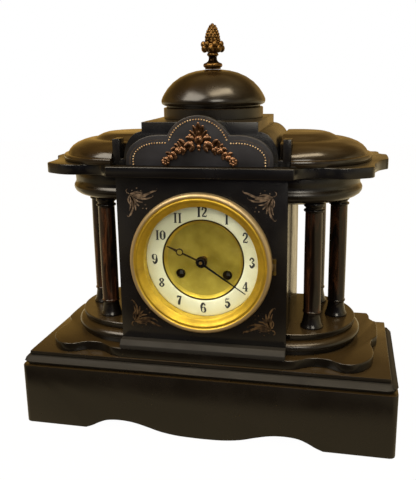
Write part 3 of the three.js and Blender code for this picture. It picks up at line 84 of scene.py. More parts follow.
# Room. Soft daylight from a window at the front left, a weaker ceiling light and a fill for the dial.
# The camera sees plain white. Stone and brass mirror tan walls with dark shelves, lit behind the
# clock and at its sides, and dim in front of it.
LAMPS = [
    ("window", (-1.0, -1.1, 1.7), (0, 0, 0.25), (1.4, 1.1), 30, "#fff3df"),
    ("ceiling", (0.45, -0.5, 1.8), (0, 0, 0.3), (1.1, 0.4), 13, "#ffe9c4"),
    ("dial_light", (0.55, -1.5, 1.1), (0, 0, 0.22), (0.7, 0.6), 9, "#fff6e4"),
]
# Each wall's tones, from the front of the room to its back.
LEFT_WALL = [(0.06, "#34333a"), (0.16, "#7d7463"), (0.5, "#8f6c36"), (0.9, "#a8823f")]
RIGHT_WALL = [(0.06, "#34333a"), (0.16, "#9a958a"), (0.5, "#c4b690"), (0.9, "#bf9a5e")]
# How light the walls are, from the level of the clock up to the ceiling.
SHELVES = [(0.36, 0.95), (0.5, 0.28), (0.66, 0.26), (0.84, 0.8), (1.0, 0.6)]


def linear(code):
    """The linear values of an sRGB hex colour."""
    channels = [int(code[i:i + 2], 16) / 255 for i in (1, 3, 5)]
    return (*[c / 12.92 if c <= 0.04045 else ((c + 0.055) / 1.055) ** 2.4 for c in channels], 1)


def wire(made, *links, **settings):
    """Sets inputs, as in_NAME or in_NUMBER with hex colours as they are, and wires links, each
    (input, node) or (input, node, output)."""
    for key, value in settings.items():
        if key.startswith("in_"):
            name = key[3:].replace("_", " ")
            value = linear(value) if isinstance(value, str) else value
            made.inputs[int(name) if name.isdigit() else name].default_value = value
        else:
            setattr(made, key, value)
    for place, source, *output in links:
        made.id_data.links.new(source.outputs[output[0] if output else 0], made.inputs[place])
    return made


def node(tree, kind, *links, **settings):
    return wire(tree.nodes.new("ShaderNode" + kind), *links, **settings)


def tint(tone, *stops):
    """Gives a colour ramp its stops: places from 0 to 1, with hex colours or plain levels."""
    elements = tone.color_ramp.elements
    elements[0].position, elements[1].position = stops[0][0], stops[-1][0]
    for place, _ in stops[1:-1]:
        elements.new(place)
    for element, (_, color) in zip(elements, stops):
        element.color = linear(color) if isinstance(color, str) else (color, color, color, 1)
    return tone


for name, at, target, size, watts, color in LAMPS:
    light = bpy.data.lights.new(name, "AREA")
    light.shape = "RECTANGLE"
    light.size, light.size_y = size
    light.energy = watts
    light.color = linear(color)[:3]
    lamp = bpy.data.objects.new(name, light)
    lamp.location = at
    lamp.rotation_euler = (Vector(target) - Vector(at)).to_track_quat("-Z", "Y").to_euler()
    bpy.context.scene.collection.objects.link(lamp)

world = bpy.data.worlds.new("room")
bpy.context.scene.world = world
world.use_nodes = True
tree = world.node_tree
path = node(tree, "LightPath")
sight = node(tree, "Math", (0, path, "Is Camera Ray"), (1, path, "Is Transmission Ray"), operation="MAXIMUM")
towards = node(tree, "TexCoord")
axes = node(tree, "SeparateXYZ", (0, towards, "Generated"))
depth = node(tree, "MapRange", (0, axes, "Y"), in_1=-1.0, in_2=1.0)
across = node(tree, "MapRange", (0, axes, "X"), in_1=-0.5, in_2=0.5)
left_wall, right_wall = (tint(node(tree, "ValToRGB", (0, depth)), *wall) for wall in (LEFT_WALL, RIGHT_WALL))
walls = node(tree, "Mix", (0, across), (6, left_wall), (7, right_wall), data_type="RGBA")
shelves = tint(node(tree, "ValToRGB", (0, axes, "Z")), *SHELVES)
shelves.color_ramp.interpolation = "EASE"
furniture = node(tree, "TexNoise", ("Vector", towards, "Generated"), in_Scale=2.6, in_Detail=2.0)
shade = node(tree, "MapRange", (0, furniture), in_1=0.42, in_2=0.58, in_3=0.8, in_4=1.7)
dimmed = node(tree, "VectorMath", (0, shelves), (1, shade), operation="MULTIPLY")
shaded = node(tree, "VectorMath", (0, walls, 2), (1, dimmed), operation="MULTIPLY")
room = node(tree, "Background", (0, shaded))
plain = node(tree, "Background", in_Color=(1, 1, 1, 1))
mixed = node(tree, "MixShader", (0, sight), (1, room), (2, plain))
wire(tree.nodes["World Output"], ("Surface", mixed))


# Table. A pale matt top that keeps the clock's shadow and is otherwise seen as white. In the stone and
# brass it shows as a painted reflection: it glows tan there, brightest behind the clock, in a band before it
# and at its sides.
TABLE_SIZE = 6
TABLE_DARK, TABLE_LIT = "#201e1d", "#f6dfae"
TABLE_GLOW, TABLE_LIFT = 1.1, 0.9
# Axis, where the light begins and where it is full, in metres, and how full.
TABLE_LIGHT = [("Y", 0.0, 0.35, 1.0), ("Y", -0.25, -0.16, 0.42), ("X", 0.25, 0.5, 0.5), ("X", -0.5, -0.8, 0.3)]


def mode(name):
    bpy.ops.object.mode_set(mode=name)


def deselect():
    """Leaves nothing selected, so that an operator acts only on what comes next."""
    if bpy.context.object and bpy.context.object.mode == "EDIT":
        mode("OBJECT")
    bpy.ops.object.select_all(action="DESELECT")


def new_material(name):
    made = bpy.data.materials.new(name)
    made.use_nodes = True
    return made, made.node_tree, made.node_tree.nodes["Principled BSDF"]


deselect()
bpy.ops.mesh.primitive_plane_add(size=TABLE_SIZE, location=(0, 0, 0))
table = bpy.context.object
table.name = "table_top"
paper, tree, shader = new_material("white_table")
grain = node(tree, "TexNoise", in_Scale=30.0, in_Detail=3.0)
tone = tint(node(tree, "ValToRGB", (0, grain)), (0, "#8a6f49"), (1, "#967a50"))
wire(shader, ("Base Color", tone), in_Roughness=0.8, in_Specular_IOR_Level=0.1)
where = node(tree, "NewGeometry")
spot = node(tree, "SeparateXYZ", (0, where, "Position"))
lit = None
for axis, begin, full, share in TABLE_LIGHT:
    zone = node(tree, "MapRange", (0, spot, axis), in_1=begin, in_2=full, in_4=share,
                interpolation_type="SMOOTHSTEP")
    lit = node(tree, "Math", (0, lit), (1, zone), operation="MAXIMUM") if lit else zone
mirror = node(tree, "Mix", (0, lit), data_type="RGBA", in_6=TABLE_DARK, in_7=TABLE_LIT)
path = node(tree, "LightPath")
seen = node(tree, "Mix", (0, path, "Is Camera Ray"), (6, mirror, 2), data_type="RGBA", in_7=(1, 1, 1, 1))
glow = node(tree, "Emission", (0, seen, 2), in_Strength=TABLE_GLOW)
either = node(tree, "Math", (0, path, "Is Camera Ray"), (1, path, "Is Glossy Ray"), operation="MAXIMUM")
lift = node(tree, "Math", (0, either), operation="MULTIPLY", in_1=TABLE_LIFT)
both = node(tree, "MixShader", (0, lift), (1, shader), (2, glow))
wire(tree.nodes["Material Output"], ("Surface", both))
table.data.materials.append(paper)
table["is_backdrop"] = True


# Base block. Four slabs of black slate on edge, a lid bevelled all round and a step on it, cemented
# with plaster and polished outside. The front slab's lower edge is sawn to two shallow arches with a
# tongue between.
SLATE_CLOUD_MM = 60.0
SLATE_GRAIN_MM = 3.0
SLATE_RUBBED = "#4a453d"
EDGE_ROUND = 0.7 * MM
BASE_CORNER = 6 * MM
LID_BEVEL = 5 * MM
STEP_ROUND = 1.2 * MM
BASE_ARCH = [
    (132, 0), (124, 3.2), (116, 7.5), (106, 11.4), (92, 12.8), (76, 11.6), (60, 7.8), (44, 3.4), (24, 0.7),
    (0, 0)]


def mottled(name, patch_mm, *tones, detail=4.0, grit=0.5, **settings):
    """Starts a finish whose tone drifts through a few colours, in patches of a real size."""
    made, tree, shader = new_material(name)
    coord = node(tree, "TexCoord")
    patch = node(tree, "TexNoise", ("Vector", coord, "Object"), in_Scale=1000 / patch_mm, in_Detail=detail,
                 in_Roughness=grit)
    tone = tint(node(tree, "ValToRGB", (0, patch)), *tones)
    wire(shader, ("Base Color", tone), **settings)
    return made, tree, shader, coord, patch, tone


def slate_finish(name, dark, mid, painted_top_sheen, roughness):
    """Polished black slate: nearly black with brownish clouds, a painted sheen on what faces up for the
    light it reflects, pale rubbed edges and a grain that is drawn coarser than the stone's own, so that it
    shows."""
    made, tree, shader, coord, clouds, tone = mottled(
        name, SLATE_CLOUD_MM, (0.36, dark), (0.72, mid), detail=6.0, grit=0.6, in_IOR=1.56)
    grain = node(tree, "TexNoise", ("Vector", coord, "Object"),
                 in_Scale=1000 / SLATE_GRAIN_MM, in_Detail=4.0, in_Roughness=0.7)
    geometry = node(tree, "NewGeometry")
    facing = node(tree, "SeparateXYZ", (0, geometry, "Normal"))
    # Painted sheen: faces that look up are mixed towards a tan tone, for the light they reflect.
    upward = node(tree, "MapRange", (0, facing, "Z"), in_1=0.25, in_2=1.0, in_4=0.8)
    top_sheen_mix = node(tree, "Mix", (0, upward), (6, tone), data_type="RGBA", in_7=painted_top_sheen)
    worn = node(tree, "MapRange", (0, geometry, "Pointiness"), in_1=0.53, in_2=0.62, in_4=0.12)
    edged = node(tree, "Mix", (0, worn), (6, top_sheen_mix, 2), data_type="RGBA", in_7=SLATE_RUBBED)
    rough = node(tree, "MapRange", (0, clouds), in_1=0.3, in_2=0.75,
                 in_3=roughness - 0.06, in_4=roughness + 0.14)
    bump = node(tree, "Bump", ("Height", grain), in_Strength=0.12, in_Distance=0.05 * MM)
    wire(shader, ("Base Color", edged, 2), ("Roughness", rough), ("Normal", bump))
    return made


def pick(obj):
    deselect()
    obj.select_set(True)
    bpy.context.view_layer.objects.active = obj


def settle(obj):
    """Puts a piece's place into its mesh, so that its object sits at the origin, unturned."""
    pick(obj)
    bpy.ops.object.transform_apply(location=True, rotation=True, scale=True)


def smooth(obj, angle=35):
    pick(obj)
    bpy.ops.object.shade_smooth_by_angle(angle=radians(angle))


def apply_all(obj):
    pick(obj)
    for step in list(obj.modifiers):
        bpy.ops.object.modifier_apply(modifier=step.name)


def soften(obj, width=EDGE_ROUND, segments=2, angle=35):
    """Breaks the sharp edges, as the mason's stone does."""
    step = obj.modifiers.new("edges", "BEVEL")
    step.width = width
    step.segments = segments
    step.limit_method = "ANGLE"
    step.angle_limit = radians(angle)
    step.harden_normals = False
    apply_all(obj)


def dress(obj, finish, slot, *nodes, body="case", angle=35):
    """Gives a piece its place, shading and finish, its body and the CAD nodes that it
    stands for, which it hides. The slot is not used."""
    settle(obj)
    if angle:
        smooth(obj, angle)
    obj.data.materials.clear()
    obj.data.materials.append(finish)
    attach(obj, body)
    if nodes:
        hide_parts(*nodes)


def edit(obj, kind="VERT", choice="SELECT"):
    pick(obj)
    mode("EDIT")
    bpy.ops.mesh.select_mode(type=kind)
    bpy.ops.mesh.select_all(action=choice)


def plane_off(obj, width, segments=2, chosen=lambda a, b: True):
    """Planes off the edges whose two ends are chosen, or else every edge of a piece."""
    edit(obj, "EDGE", "DESELECT")
    mode("OBJECT")
    for edge in obj.data.edges:
        edge.select = chosen(*(obj.data.vertices[v].co for v in edge.vertices))
    mode("EDIT")
    bpy.ops.mesh.bevel(offset=width, segments=segments)
    mode("OBJECT")


def slab(name, low, high, round_off=EDGE_ROUND):
    """A sawn slab between two corners, its edges rounded by the polisher."""
    deselect()
    bpy.ops.mesh.primitive_cube_add(size=1, location=[(a + b) / 2 for a, b in zip(low, high)])
    made = bpy.context.object
    made.name = name
    made.scale = [b - a for a, b in zip(low, high)]
    settle(made)
    plane_off(made, round_off)
    smooth(made)
    return made


def trace(name, points):
    """Draws a line through the points, by extruding a corner from each of them to the next."""
    deselect()
    bpy.ops.mesh.primitive_plane_add(size=MM, location=(0, 0, 0))
    made = bpy.context.object
    made.name = name
    mode("EDIT")
    bpy.ops.mesh.select_mode(type="VERT")
    bpy.ops.mesh.merge(type="CENTER")
    bpy.ops.transform.translate(value=points[0])
    for start, end in zip(points, points[1:]):
        reach = [b - a for a, b in zip(start, end)]
        bpy.ops.mesh.extrude_vertices_move(TRANSFORM_OT_translate={"value": reach})
    bpy.ops.mesh.select_all(action="SELECT")
    return made


def outline_piece(name, points, depth):
    """A closed outline, filled and extruded by the depth vector."""
    made = trace(name, points)
    bpy.ops.mesh.edge_face_add()
    bpy.ops.mesh.extrude_region_move(TRANSFORM_OT_translate={"value": depth})
    bpy.ops.mesh.select_all(action="SELECT")
    bpy.ops.mesh.normals_make_consistent(inside=False)
    mode("OBJECT")
    return made


def curve_through(points, steps=4):
    """A smooth curve through given points, for sawn and carved outlines."""
    made = []
    last = len(points) - 1
    for i in range(last):
        a, b, c, d = (Vector(points[max(0, min(last, i + k))]) for k in (-1, 0, 1, 2))
        for step in range(steps):
            t = step / steps
            made.append(tuple(0.5 * ((2 * b) + (c - a) * t + (2 * a - 5 * b + 4 * c - d) * t * t
                                     + (3 * b - a - 3 * c + d) * t ** 3)))
    made.append(tuple(points[-1]))
    return made


def both_sides(right, middle=()):
    """The right half of an outline, what lies in its middle, and the mirrored left half."""
    return [*right, *middle, *((-x, y) for x, y in reversed(right))]


slate_base = slate_finish("polished_slate_base", "#080706", "#110e0b", "#3c2e18", 0.22)
slate_bevels = slate_finish("rubbed_slate_bevels", "#070708", "#0d0d10", "#191611", 0.66)

low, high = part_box("base_front_slab")
arch = curve_through([(x * MM, z * MM) for x, z in BASE_ARCH])
outline = both_sides([(high.x, high.z), (high.x, 0), *arch[:-1]], arch[-1:])
front_slab = outline_piece("base_front", [(x, low.y, z) for x, z in outline], (0, high.y - low.y, 0))
plane_off(front_slab, BASE_CORNER, 3, lambda a, b: (
    (a.xy - b.xy).length < 0.001 * MM and a.y < low.y + MM and abs(a.x) > high.x - MM))
soften(front_slab)
dress(front_slab, slate_base, "slate", "base_front_slab")

for node_name in ("base_back_slab", "left_base_side_slab", "right_base_side_slab"):
    low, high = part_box(node_name)
    dress(slab(node_name.replace("_slab", ""), low, high), slate_base, "slate", node_name)

low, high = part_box("base_lid_slab")
plan = [(low.x + BASE_CORNER, low.y), (high.x - BASE_CORNER, low.y), (high.x, low.y + BASE_CORNER),
        (high.x, high.y), (low.x, high.y), (low.x, low.y + BASE_CORNER)]
lid = outline_piece("base_lid", [(x, y, low.z) for x, y in plan], (0, 0, high.z - low.z))
plane_off(lid, LID_BEVEL, 1)
soften(lid, 0.5 * MM)
dress(lid, slate_bevels, "slate", "base_lid_slab")

low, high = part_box("step_slab")
dress(slab("step", low, high, STEP_ROUND), slate_base, "slate", "step_slab")


# Shaped plate and cornice. Two slate slabs sawn to nearly the same lobed plan, a round lobe at each
# front corner and an ear at each end, their edges eased, bedded under and over the colonnades.
SETBACK = 13 * MM
PLATE_OUTLINE = [
    (84, -87), (92, -86.6), (101, -84.5), (109, -79), (117, -75), (127, -74), (136, -76), (145, -82),
    (153, -84.2), (162, -82), (170, -75.5), (177, -65), (180.2, -53), (180, -40), (178, -26), (179.5, -14),
    (183.5, -6.5), (186, 2), (186, 39), (182.5, 45), (178.5, 52), (178, 62), (175.8, 70)]
CORNICE_OUTLINE = [
    (96.4, -88), (100.5, -81.5), (107.7, -75.7), (123, -73.5), (136, -76.6), (149, -75.7), (162.5, -69.5),
    (172.4, -61.6), (173.3, -46), (174.8, -30), (179.5, -14), (186, -3.5), (189, 3.5), (189, 39), (184.3, 45),
    (180.5, 52), (180.8, 63), (178.6, 70)]


def within(value, lowest, highest):
    return min(max(value, lowest), highest)


def lobed_slab(name, outline, node_name, finish):
    """Saws a lobed slab. Its plan is set out from the middle of the upper parts, SETBACK behind the
    middle of the base, and kept inside the slab's own box."""
    low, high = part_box(node_name)
    points = [(x * MM, y * MM + SETBACK) for x, y in outline]
    reach = high.x / max(x for x, _ in points)
    right = curve_through([(x * reach, within(y, low.y, high.y)) for x, y in points])
    ring = [(x, within(y, low.y, high.y), low.z) for x, y in both_sides(right)]
    made = outline_piece(name, ring, (0, 0, high.z - low.z))
    soften(made, 1.0 * MM, 3, 50)
    dress(made, finish, "slate", node_name)


# This slate is tinted cool blue: a painted reflection of cool light on the body, cornice and pediment.
slate_body = slate_finish("polished_slate_body", "#06070b", "#0c0e15", "#262015", 0.22)
lobed_slab("plate", PLATE_OUTLINE, "shaped_plate", slate_base)
lobed_slab("cornice", CORNICE_OUTLINE, "cornice_slab", slate_body)


# Body. A box of slate panels, cemented on a sole with a bevelled front edge. The front has the round
# dial hole and the back the hole for the rear door.
DIAL_Z = 193.7 * MM
SOLE_BEVEL_DEEP, SOLE_BEVEL_HIGH = 4.6 * MM, 5 * MM
FRONT_HOLE, BACK_HOLE = 66 * MM, 64 * MM
DRILL_LONG = 100 * MM


def rod(radius, length, at, sides, upright=False):
    """A plain round rod that runs from front to back, or upright: a drill, a foot or a knuckle."""
    deselect()
    bpy.ops.mesh.primitive_cylinder_add(vertices=sides, radius=radius, depth=length, location=at,
                                        rotation=(0 if upright else pi / 2, 0, 0))
    return bpy.context.object


def cut_with(obj, tool):
    """Cuts a tool's form out of a piece and puts the tool away."""
    step = obj.modifiers.new("cut", "BOOLEAN")
    step.operation = "DIFFERENCE"
    step.object = tool
    step.solver = "EXACT"
    apply_all(obj)
    bpy.data.objects.remove(tool)


low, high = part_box("body_sole")
profile = [(low.y, low.z), (low.y, high.z - SOLE_BEVEL_HIGH), (low.y + SOLE_BEVEL_DEEP, high.z),
           (high.y, high.z), (high.y, low.z)]
sole = outline_piece("sole", [(low.x, y, z) for y, z in profile], (high.x - low.x, 0, 0))
soften(sole, 0.5 * MM)
dress(sole, slate_bevels, "slate", "body_sole")

for side, hole in (("front", FRONT_HOLE), ("back", BACK_HOLE)):
    low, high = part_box(side + "_panel")
    panel = slab("body_" + side, low, high, 0.6 * MM)
    cut_with(panel, rod(hole, DRILL_LONG, (0, (low.y + high.y) / 2, DIAL_Z), 96))
    dress(panel, slate_body, "slate", side + "_panel")

for side in ("left_side", "right_side"):
    low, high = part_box(side + "_panel")
    dress(slab("body_" + side, low, high), slate_body, "slate", side + "_panel")


# Corner sprays. Leaves and dots cut shallowly into the corners of the front and laid with gold leaf,
# which is drawn paler in the upper sprays and browner in the lower. Each frond's widths are at its foot, middle
# and tip.
SPRAY_IN, SPRAY_DOWN = 15 * MM, 19 * MM
SPRAY_PROUD_MM = 0.3
SPRAY_BOLD = 1.35
SPRAY_FRONDS = [
    ([(0, 0), (5, -0.5), (10, 0.6), (15, 1.0), (20, -0.6), (25, -3), (29, -4)], (0.5, 1.5, 0.9)),
    ([(29, -4), (30.4, -5.4), (29.6, -6.6)], (0.7, 0.4, 0.3)),
    ([(1, 0.6), (7, 3.2), (13, 4.6), (19, 4.6), (24, 3)], (0.5, 1.5, 0.5)),
    ([(24, 3), (25.6, 1.6), (24.8, 0.6)], (0.5, 0.4, 0.3)),
    ([(1, 1.2), (5, 5), (9.4, 7.8), (14, 8.4)], (0.5, 1.3, 0.5)),
    ([(0.6, 1.4), (2.6, 6), (3.4, 11), (2.6, 17), (0.2, 22), (-1.6, 24)], (0.5, 1.5, 0.6)),
    ([(-1.6, 24), (-3.2, 24.4), (-3.4, 22.8)], (0.6, 0.4, 0.3)),
    ([(0, 1.4), (-1.6, 4.6), (-1.6, 8), (0, 10.4), (1.4, 9)], (0.5, 1.0, 0.4)),
    ([(-0.6, -0.4), (-3, -1.6), (-3.6, -4), (-2, -5.4)], (0.6, 0.8, 0.4)),
    ([(1.4, 0.8), (6, 1.8), (12, 2.6), (18, 2.2)], (0.5, 1.3, 0.5)),
    ([(1.2, 1.8), (4, 6.2), (7, 9.8), (10, 12.6)], (0.5, 1.4, 0.5)),
    ([(1, 2.2), (3.8, 7.6), (5.6, 12.6), (6.2, 17.4)], (0.5, 1.4, 0.5)),
    ([(0.4, 2.4), (0.8, 7), (0.6, 13), (-0.8, 18)], (0.5, 1.2, 0.5)),
    ([(1.4, -0.6), (6, -2), (10, -2), (14, -1)], (0.5, 1.1, 0.4)),
]
SPRAY_DOTS = [
    (17, 11, 0.8), (18, 15, 0.7), (14, 15, 0.6), (8, -6.4, 0.7), (3, -3.6, 0.6), (12.4, -3.6, 0.6),
    (6.4, 12, 0.6)]


def gold_leaf_finish(name, light, dark):
    """Gold leaf laid into cut ornament, rubbed thin and dusty: a soft metal glint between brown."""
    return mottled(name, 5.0, (0.38, dark), (0.62, light), in_Metallic=0.35, in_Roughness=0.5)[0]


def stroke(points, widths, y, proud):
    """A stroke on a face, in millimetres: a thin raised band with its own foot, middle and tip."""
    path = [Vector(p) for p in curve_through(points)]
    foot, middle, tip = widths
    left, right = [], []
    for i, at in enumerate(path):
        ahead = path[min(i + 1, len(path) - 1)] - path[max(i - 1, 0)]
        square = Vector((-ahead.y, ahead.x)).normalized()
        share = i / (len(path) - 1)
        half = (foot + (middle - foot) * sin(pi * share) + (tip - foot) * share) * 0.5
        left.append(at + square * half)
        right.append(at - square * half)
    return outline_piece("stroke", [(p.x * MM, y, p.y * MM) for p in left + right[::-1]], (0, -proud * MM, 0))


def join_as(name, pieces):
    deselect()
    for piece in pieces:
        piece.select_set(True)
    bpy.context.view_layer.objects.active = pieces[0]
    bpy.ops.object.join()
    pieces[0].name = name
    return pieces[0]


def corner_spray(name, across, up, finish):
    """One corner's spray, its root towards the corner and its fronds towards the dial."""
    low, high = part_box("front_panel")
    root_x = across * (high.x - SPRAY_IN)
    root_z = high.z - SPRAY_DOWN if up > 0 else low.z + SPRAY_DOWN
    parts = []
    for points, widths in SPRAY_FRONDS:
        flat = [(root_x / MM - across * u, root_z / MM - up * v) for u, v in points]
        parts.append(stroke(flat, [width * SPRAY_BOLD for width in widths], low.y, SPRAY_PROUD_MM))
    for u, v, radius in SPRAY_DOTS:
        spot = (root_x - across * u * MM, low.y - SPRAY_PROUD_MM / 2 * MM, root_z - up * v * MM)
        parts.append(rod(radius * MM, SPRAY_PROUD_MM * MM, spot, 10))
    dress(join_as(name, parts), finish, "bronze", angle=40)


paler_leaf = gold_leaf_finish("paler_gold_leaf", "#9c8a78", "#4c4036")
browner_leaf = gold_leaf_finish("browner_gold_leaf", "#6e583e", "#33261a")
for level, up, leaf in (("upper", 1, paler_leaf), ("lower", -1, browner_leaf)):
    corner_spray(level + "_right_spray", 1, up, leaf)
    corner_spray(level + "_left_spray", -1, up, leaf)


# Colonnade discs and wing caps. Slate turned to a moulded rim, then sawn where it meets the body and
# along the back: at each end a foot disc and a capital disc, bedded in plaster, and above the
# cornice a domed cap that is notched round the pediment's post.
WING_CENTRE = 90 * MM
CAP_WALL = 80.1 * MM
POST_DEPTH, POST_PLAY = 15 * MM, 0.3 * MM
NOTCH_SIZE = (40 * MM, 40 * MM, 100 * MM)
NOTCH_Z = 310 * MM
FOOT_PROFILE = [
    (0, 22.5), (69.6, 22.5), (70.2, 21.9), (70.2, 17.6), (69.7, 17), (67.2, 16.8), (66.8, 16.2), (66.9, 15),
    (69, 14.5), (72.5, 13.2), (75, 11.2), (76, 8.8), (75.8, 6.6), (74.6, 5.2), (72.8, 4.6), (72.4, 4),
    (72.4, 0.5), (72, 0), (0, 0)]
CAPITAL_PROFILE = [
    (0, 29.3), (70.8, 29.3), (71.2, 28.6), (70.6, 20), (70.5, 16), (71.4, 14), (72.6, 12.2), (73, 10.2),
    (72.6, 8), (71, 5.4), (67.6, 3), (63.4, 1.6), (62, 1.4), (59, 0), (0, 0)]
CAP_PROFILE = [
    (0, 28.5), (32.8, 28.5), (34.2, 28.1), (37.6, 27.2), (42.4, 25), (46.6, 22.6), (48.6, 22.2), (50.4, 22.4),
    (55, 21.9), (60.5, 20.4), (67, 17.8), (72, 14.6), (75.4, 11), (77.2, 8), (77.6, 6.8), (79.6, 6.8),
    (81.4, 6.2), (82, 5), (82, 1.2), (81.4, 0.2), (80.8, 0), (0, 0)]
UPRIGHT, FRONT_TO_BACK = (0, 0, 1), (0, 1, 0)
SIDES = (("left", -1), ("right", 1))


def turned_piece(name, profile, at, steps=96, axis=UPRIGHT):
    """Turns a profile of (radius, height) in millimetres about an axis, and closes its seam."""
    made = trace(name, [
        (at[0] + r * MM, at[1] + axis[1] * h * MM, at[2] + axis[2] * h * MM) for r, h in profile])
    bpy.ops.mesh.spin(steps=steps, angle=2 * pi, center=at, axis=axis, use_auto_merge=True)
    bpy.ops.mesh.select_all(action="SELECT")
    bpy.ops.mesh.remove_doubles(threshold=0.01 * MM)
    bpy.ops.mesh.normals_make_consistent(inside=False)
    mode("OBJECT")
    return made


def saw(obj, at, normal):
    """Saws off what lies beyond a plane and closes the cut."""
    edit(obj)
    bpy.ops.mesh.bisect(plane_co=at, plane_no=normal, use_fill=True, clear_outer=True)
    mode("OBJECT")


def half_disc(name, profile, node_name, side, finish, wall=None, notch=False):
    low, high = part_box(node_name)
    made = turned_piece(name, profile, (side * WING_CENTRE, SETBACK, low.z))
    if wall is None:
        wall = low.x if side > 0 else high.x
    saw(made, (wall, 0, 0), (-side, 0, 0))
    saw(made, (0, high.y, 0), (0, 1, 0))
    if notch:
        front_left, back_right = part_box("pediment_block")
        post_end, post_back = back_right.x + POST_PLAY, front_left.y + POST_DEPTH + POST_PLAY
        deselect()
        bpy.ops.mesh.primitive_cube_add(size=1, location=(
            side * (post_end - NOTCH_SIZE[0] / 2), post_back - NOTCH_SIZE[1] / 2, NOTCH_Z))
        tool = bpy.context.object
        tool.scale = NOTCH_SIZE
        cut_with(made, tool)
    dress(made, finish, "slate", node_name, angle=40)


# This slate is drawn browner and lighter: a painted reflection of the tan room on the caps' tops.
slate_caps = slate_finish("polished_slate_tops", "#120d07", "#241a0d", "#3a2c17", 0.15)
for word, side in SIDES:
    half_disc(word + "_foot", FOOT_PROFILE, word + "_foot_disc", side, slate_base)
    half_disc(word + "_capital", CAPITAL_PROFILE, word + "_capital_disc", side, slate_base)
for word, side in SIDES:
    half_disc(word + "_cap", CAP_PROFILE, word + "_wing_cap", side, slate_caps, side * CAP_WALL, True)


# Columns. Three at each end, turned from dark red-brown marble and polished, with a black turned ring
# at foot and neck, standing loose between the discs and held by plaster.
COLUMN_PROFILE = [
    (0, 136.8), (10.6, 136.8), (10.9, 136.4), (10.9, 133.6), (10.4, 132.9), (9.4, 132.3), (9.1, 131.4),
    (9.1, 130.4), (9.6, 129.9), (10.7, 129.5), (10.95, 128.7), (10.7, 127.9), (9.6, 127.4), (9.1, 126.6),
    (9.2, 125.6), (9.35, 105), (9.45, 82), (9.4, 50), (9.3, 19.4), (9.5, 18.8), (10, 18.4), (10.1, 17.6),
    (9.9, 16.9), (9.2, 16.4), (8.9, 15.6), (9.1, 13), (9.7, 9.6), (10.5, 6), (11.3, 3.3), (12.1, 2.1),
    (12.3, 1.6), (12.3, 0.3), (12.1, 0), (0, 0)]
MARBLE_STREAK_MM = 9.0
MARBLE_DRAWN_OUT = 0.16
FOOT_ENDS, NECK_BEGINS = (134.0 * MM, 136.5 * MM), (243.5 * MM, 245.5 * MM)


def marble_finish():
    """Dark red-brown marble, polished: black veins run along the shaft, and the ends are black."""
    made, tree, shader, coord, veins, tone = mottled(
        "red_brown_marble", MARBLE_STREAK_MM, (0.42, "#0b0605"), (0.53, "#26150c"), (0.68, "#54321b"),
        detail=8.0, grit=0.62, in_IOR=1.54)
    along = node(tree, "Mapping", ("Vector", coord, "Object"), in_Scale=(1, 1, MARBLE_DRAWN_OUT))
    wire(veins, ("Vector", along), in_Distortion=0.8)
    height = node(tree, "SeparateXYZ", (0, coord, "Object"))
    lower = node(tree, "MapRange", (0, height, "Z"), in_1=FOOT_ENDS[0], in_2=FOOT_ENDS[1], in_3=1.0, in_4=0.0)
    upper = node(tree, "MapRange", (0, height, "Z"), in_1=NECK_BEGINS[0], in_2=NECK_BEGINS[1])
    ends = node(tree, "Math", (0, lower), (1, upper), operation="MAXIMUM")
    mixed = node(tree, "Mix", (0, ends), (6, tone), data_type="RGBA", in_7="#0e0b0a")
    rough = node(tree, "MapRange", (0, veins), in_1=0.35, in_2=0.7, in_3=0.16, in_4=0.3)
    wire(shader, ("Base Color", mixed, 2), ("Roughness", rough))
    return made


marble = marble_finish()
for word in ("left", "right"):
    for row in ("front", "middle", "rear"):
        node_name = word + "_" + row + "_column"
        low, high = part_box(node_name)
        foot = ((low.x + high.x) / 2, (low.y + high.y) / 2, low.z)
        dress(turned_piece(word + "_" + row + "_pillar", COLUMN_PROFILE, foot, 48), marble, "marble",
              node_name, angle=40)


# Pediment. A slate block with a quarter-round shoulder at each end and a square post at each front
# corner. On its face stands a trefoil of rubbed slate, edged by a cut line and a row of gilt beads.
POST_WIDTH, POST_HEIGHT = 8 * MM, 27 * MM
TIE_FROM, TIE_HEIGHT, TIE_GAP = 79 * MM, 6.4 * MM, 0.1 * MM
BLOCK_HALF, BLOCK_FRONT, BLOCK_STEP = 80 * MM, -61 * MM, 6.5 * MM
SHOULDER_REACH, SHOULDER_RISE = 20 * MM, 28 * MM
CROWN_CENTRE, CROWN_RADIUS = (0, 15.5), 35.5
LOBE_CENTRE, LOBE_REACH, LOBE_RISE = (41, 6.5), 35, 25
CROWN_ABOVE_LOBE = 16
TREFOIL_TOP, TREFOIL_HALF = 51, 76
BEAD_RADIUS_MM, BEAD_PITCH_MM = 0.9, 2.8
LINE_WIDTHS, LINE_PROUD_MM = (0.5, 0.5, 0.5), 0.06
# Rows on the face: the crown's radius and where it begins, in degrees, the lobe's reach and rise, its
# foot, its end beside the crown, and the steps in which the crown and the lobe are drawn.
BEAD_ROW = (31.5, 159, 27, 17, (68, 1.6), (33.6, 23.5), 160, 90)
LINE_ROW = (33.6, 157, 30.4, 20, (71.4, 1.6), (36, 26.5), 14, 9)
QUARTER = pi / 2


def arc(centre, radius, first, last, steps, squeeze=1.0):
    """Points along an arc from one angle to another, as pairs."""
    made = []
    for i in range(steps + 1):
        angle = first + (last - first) * i / steps
        made.append((centre[0] + radius * cos(angle), centre[1] + radius * squeeze * sin(angle)))
    return made


def face_rows(radius, begin, reach, rise, foot, end, crown_steps, lobe_steps):
    """A row over the crown of the trefoil and one round each of its lobes."""
    over = arc(CROWN_CENTRE, radius, radians(begin), radians(180 - begin), crown_steps)
    beside = [foot, *arc(LOBE_CENTRE, reach, 0, QUARTER, lobe_steps, rise / reach), end]
    return over, beside, [(-x, z) for x, z in beside]


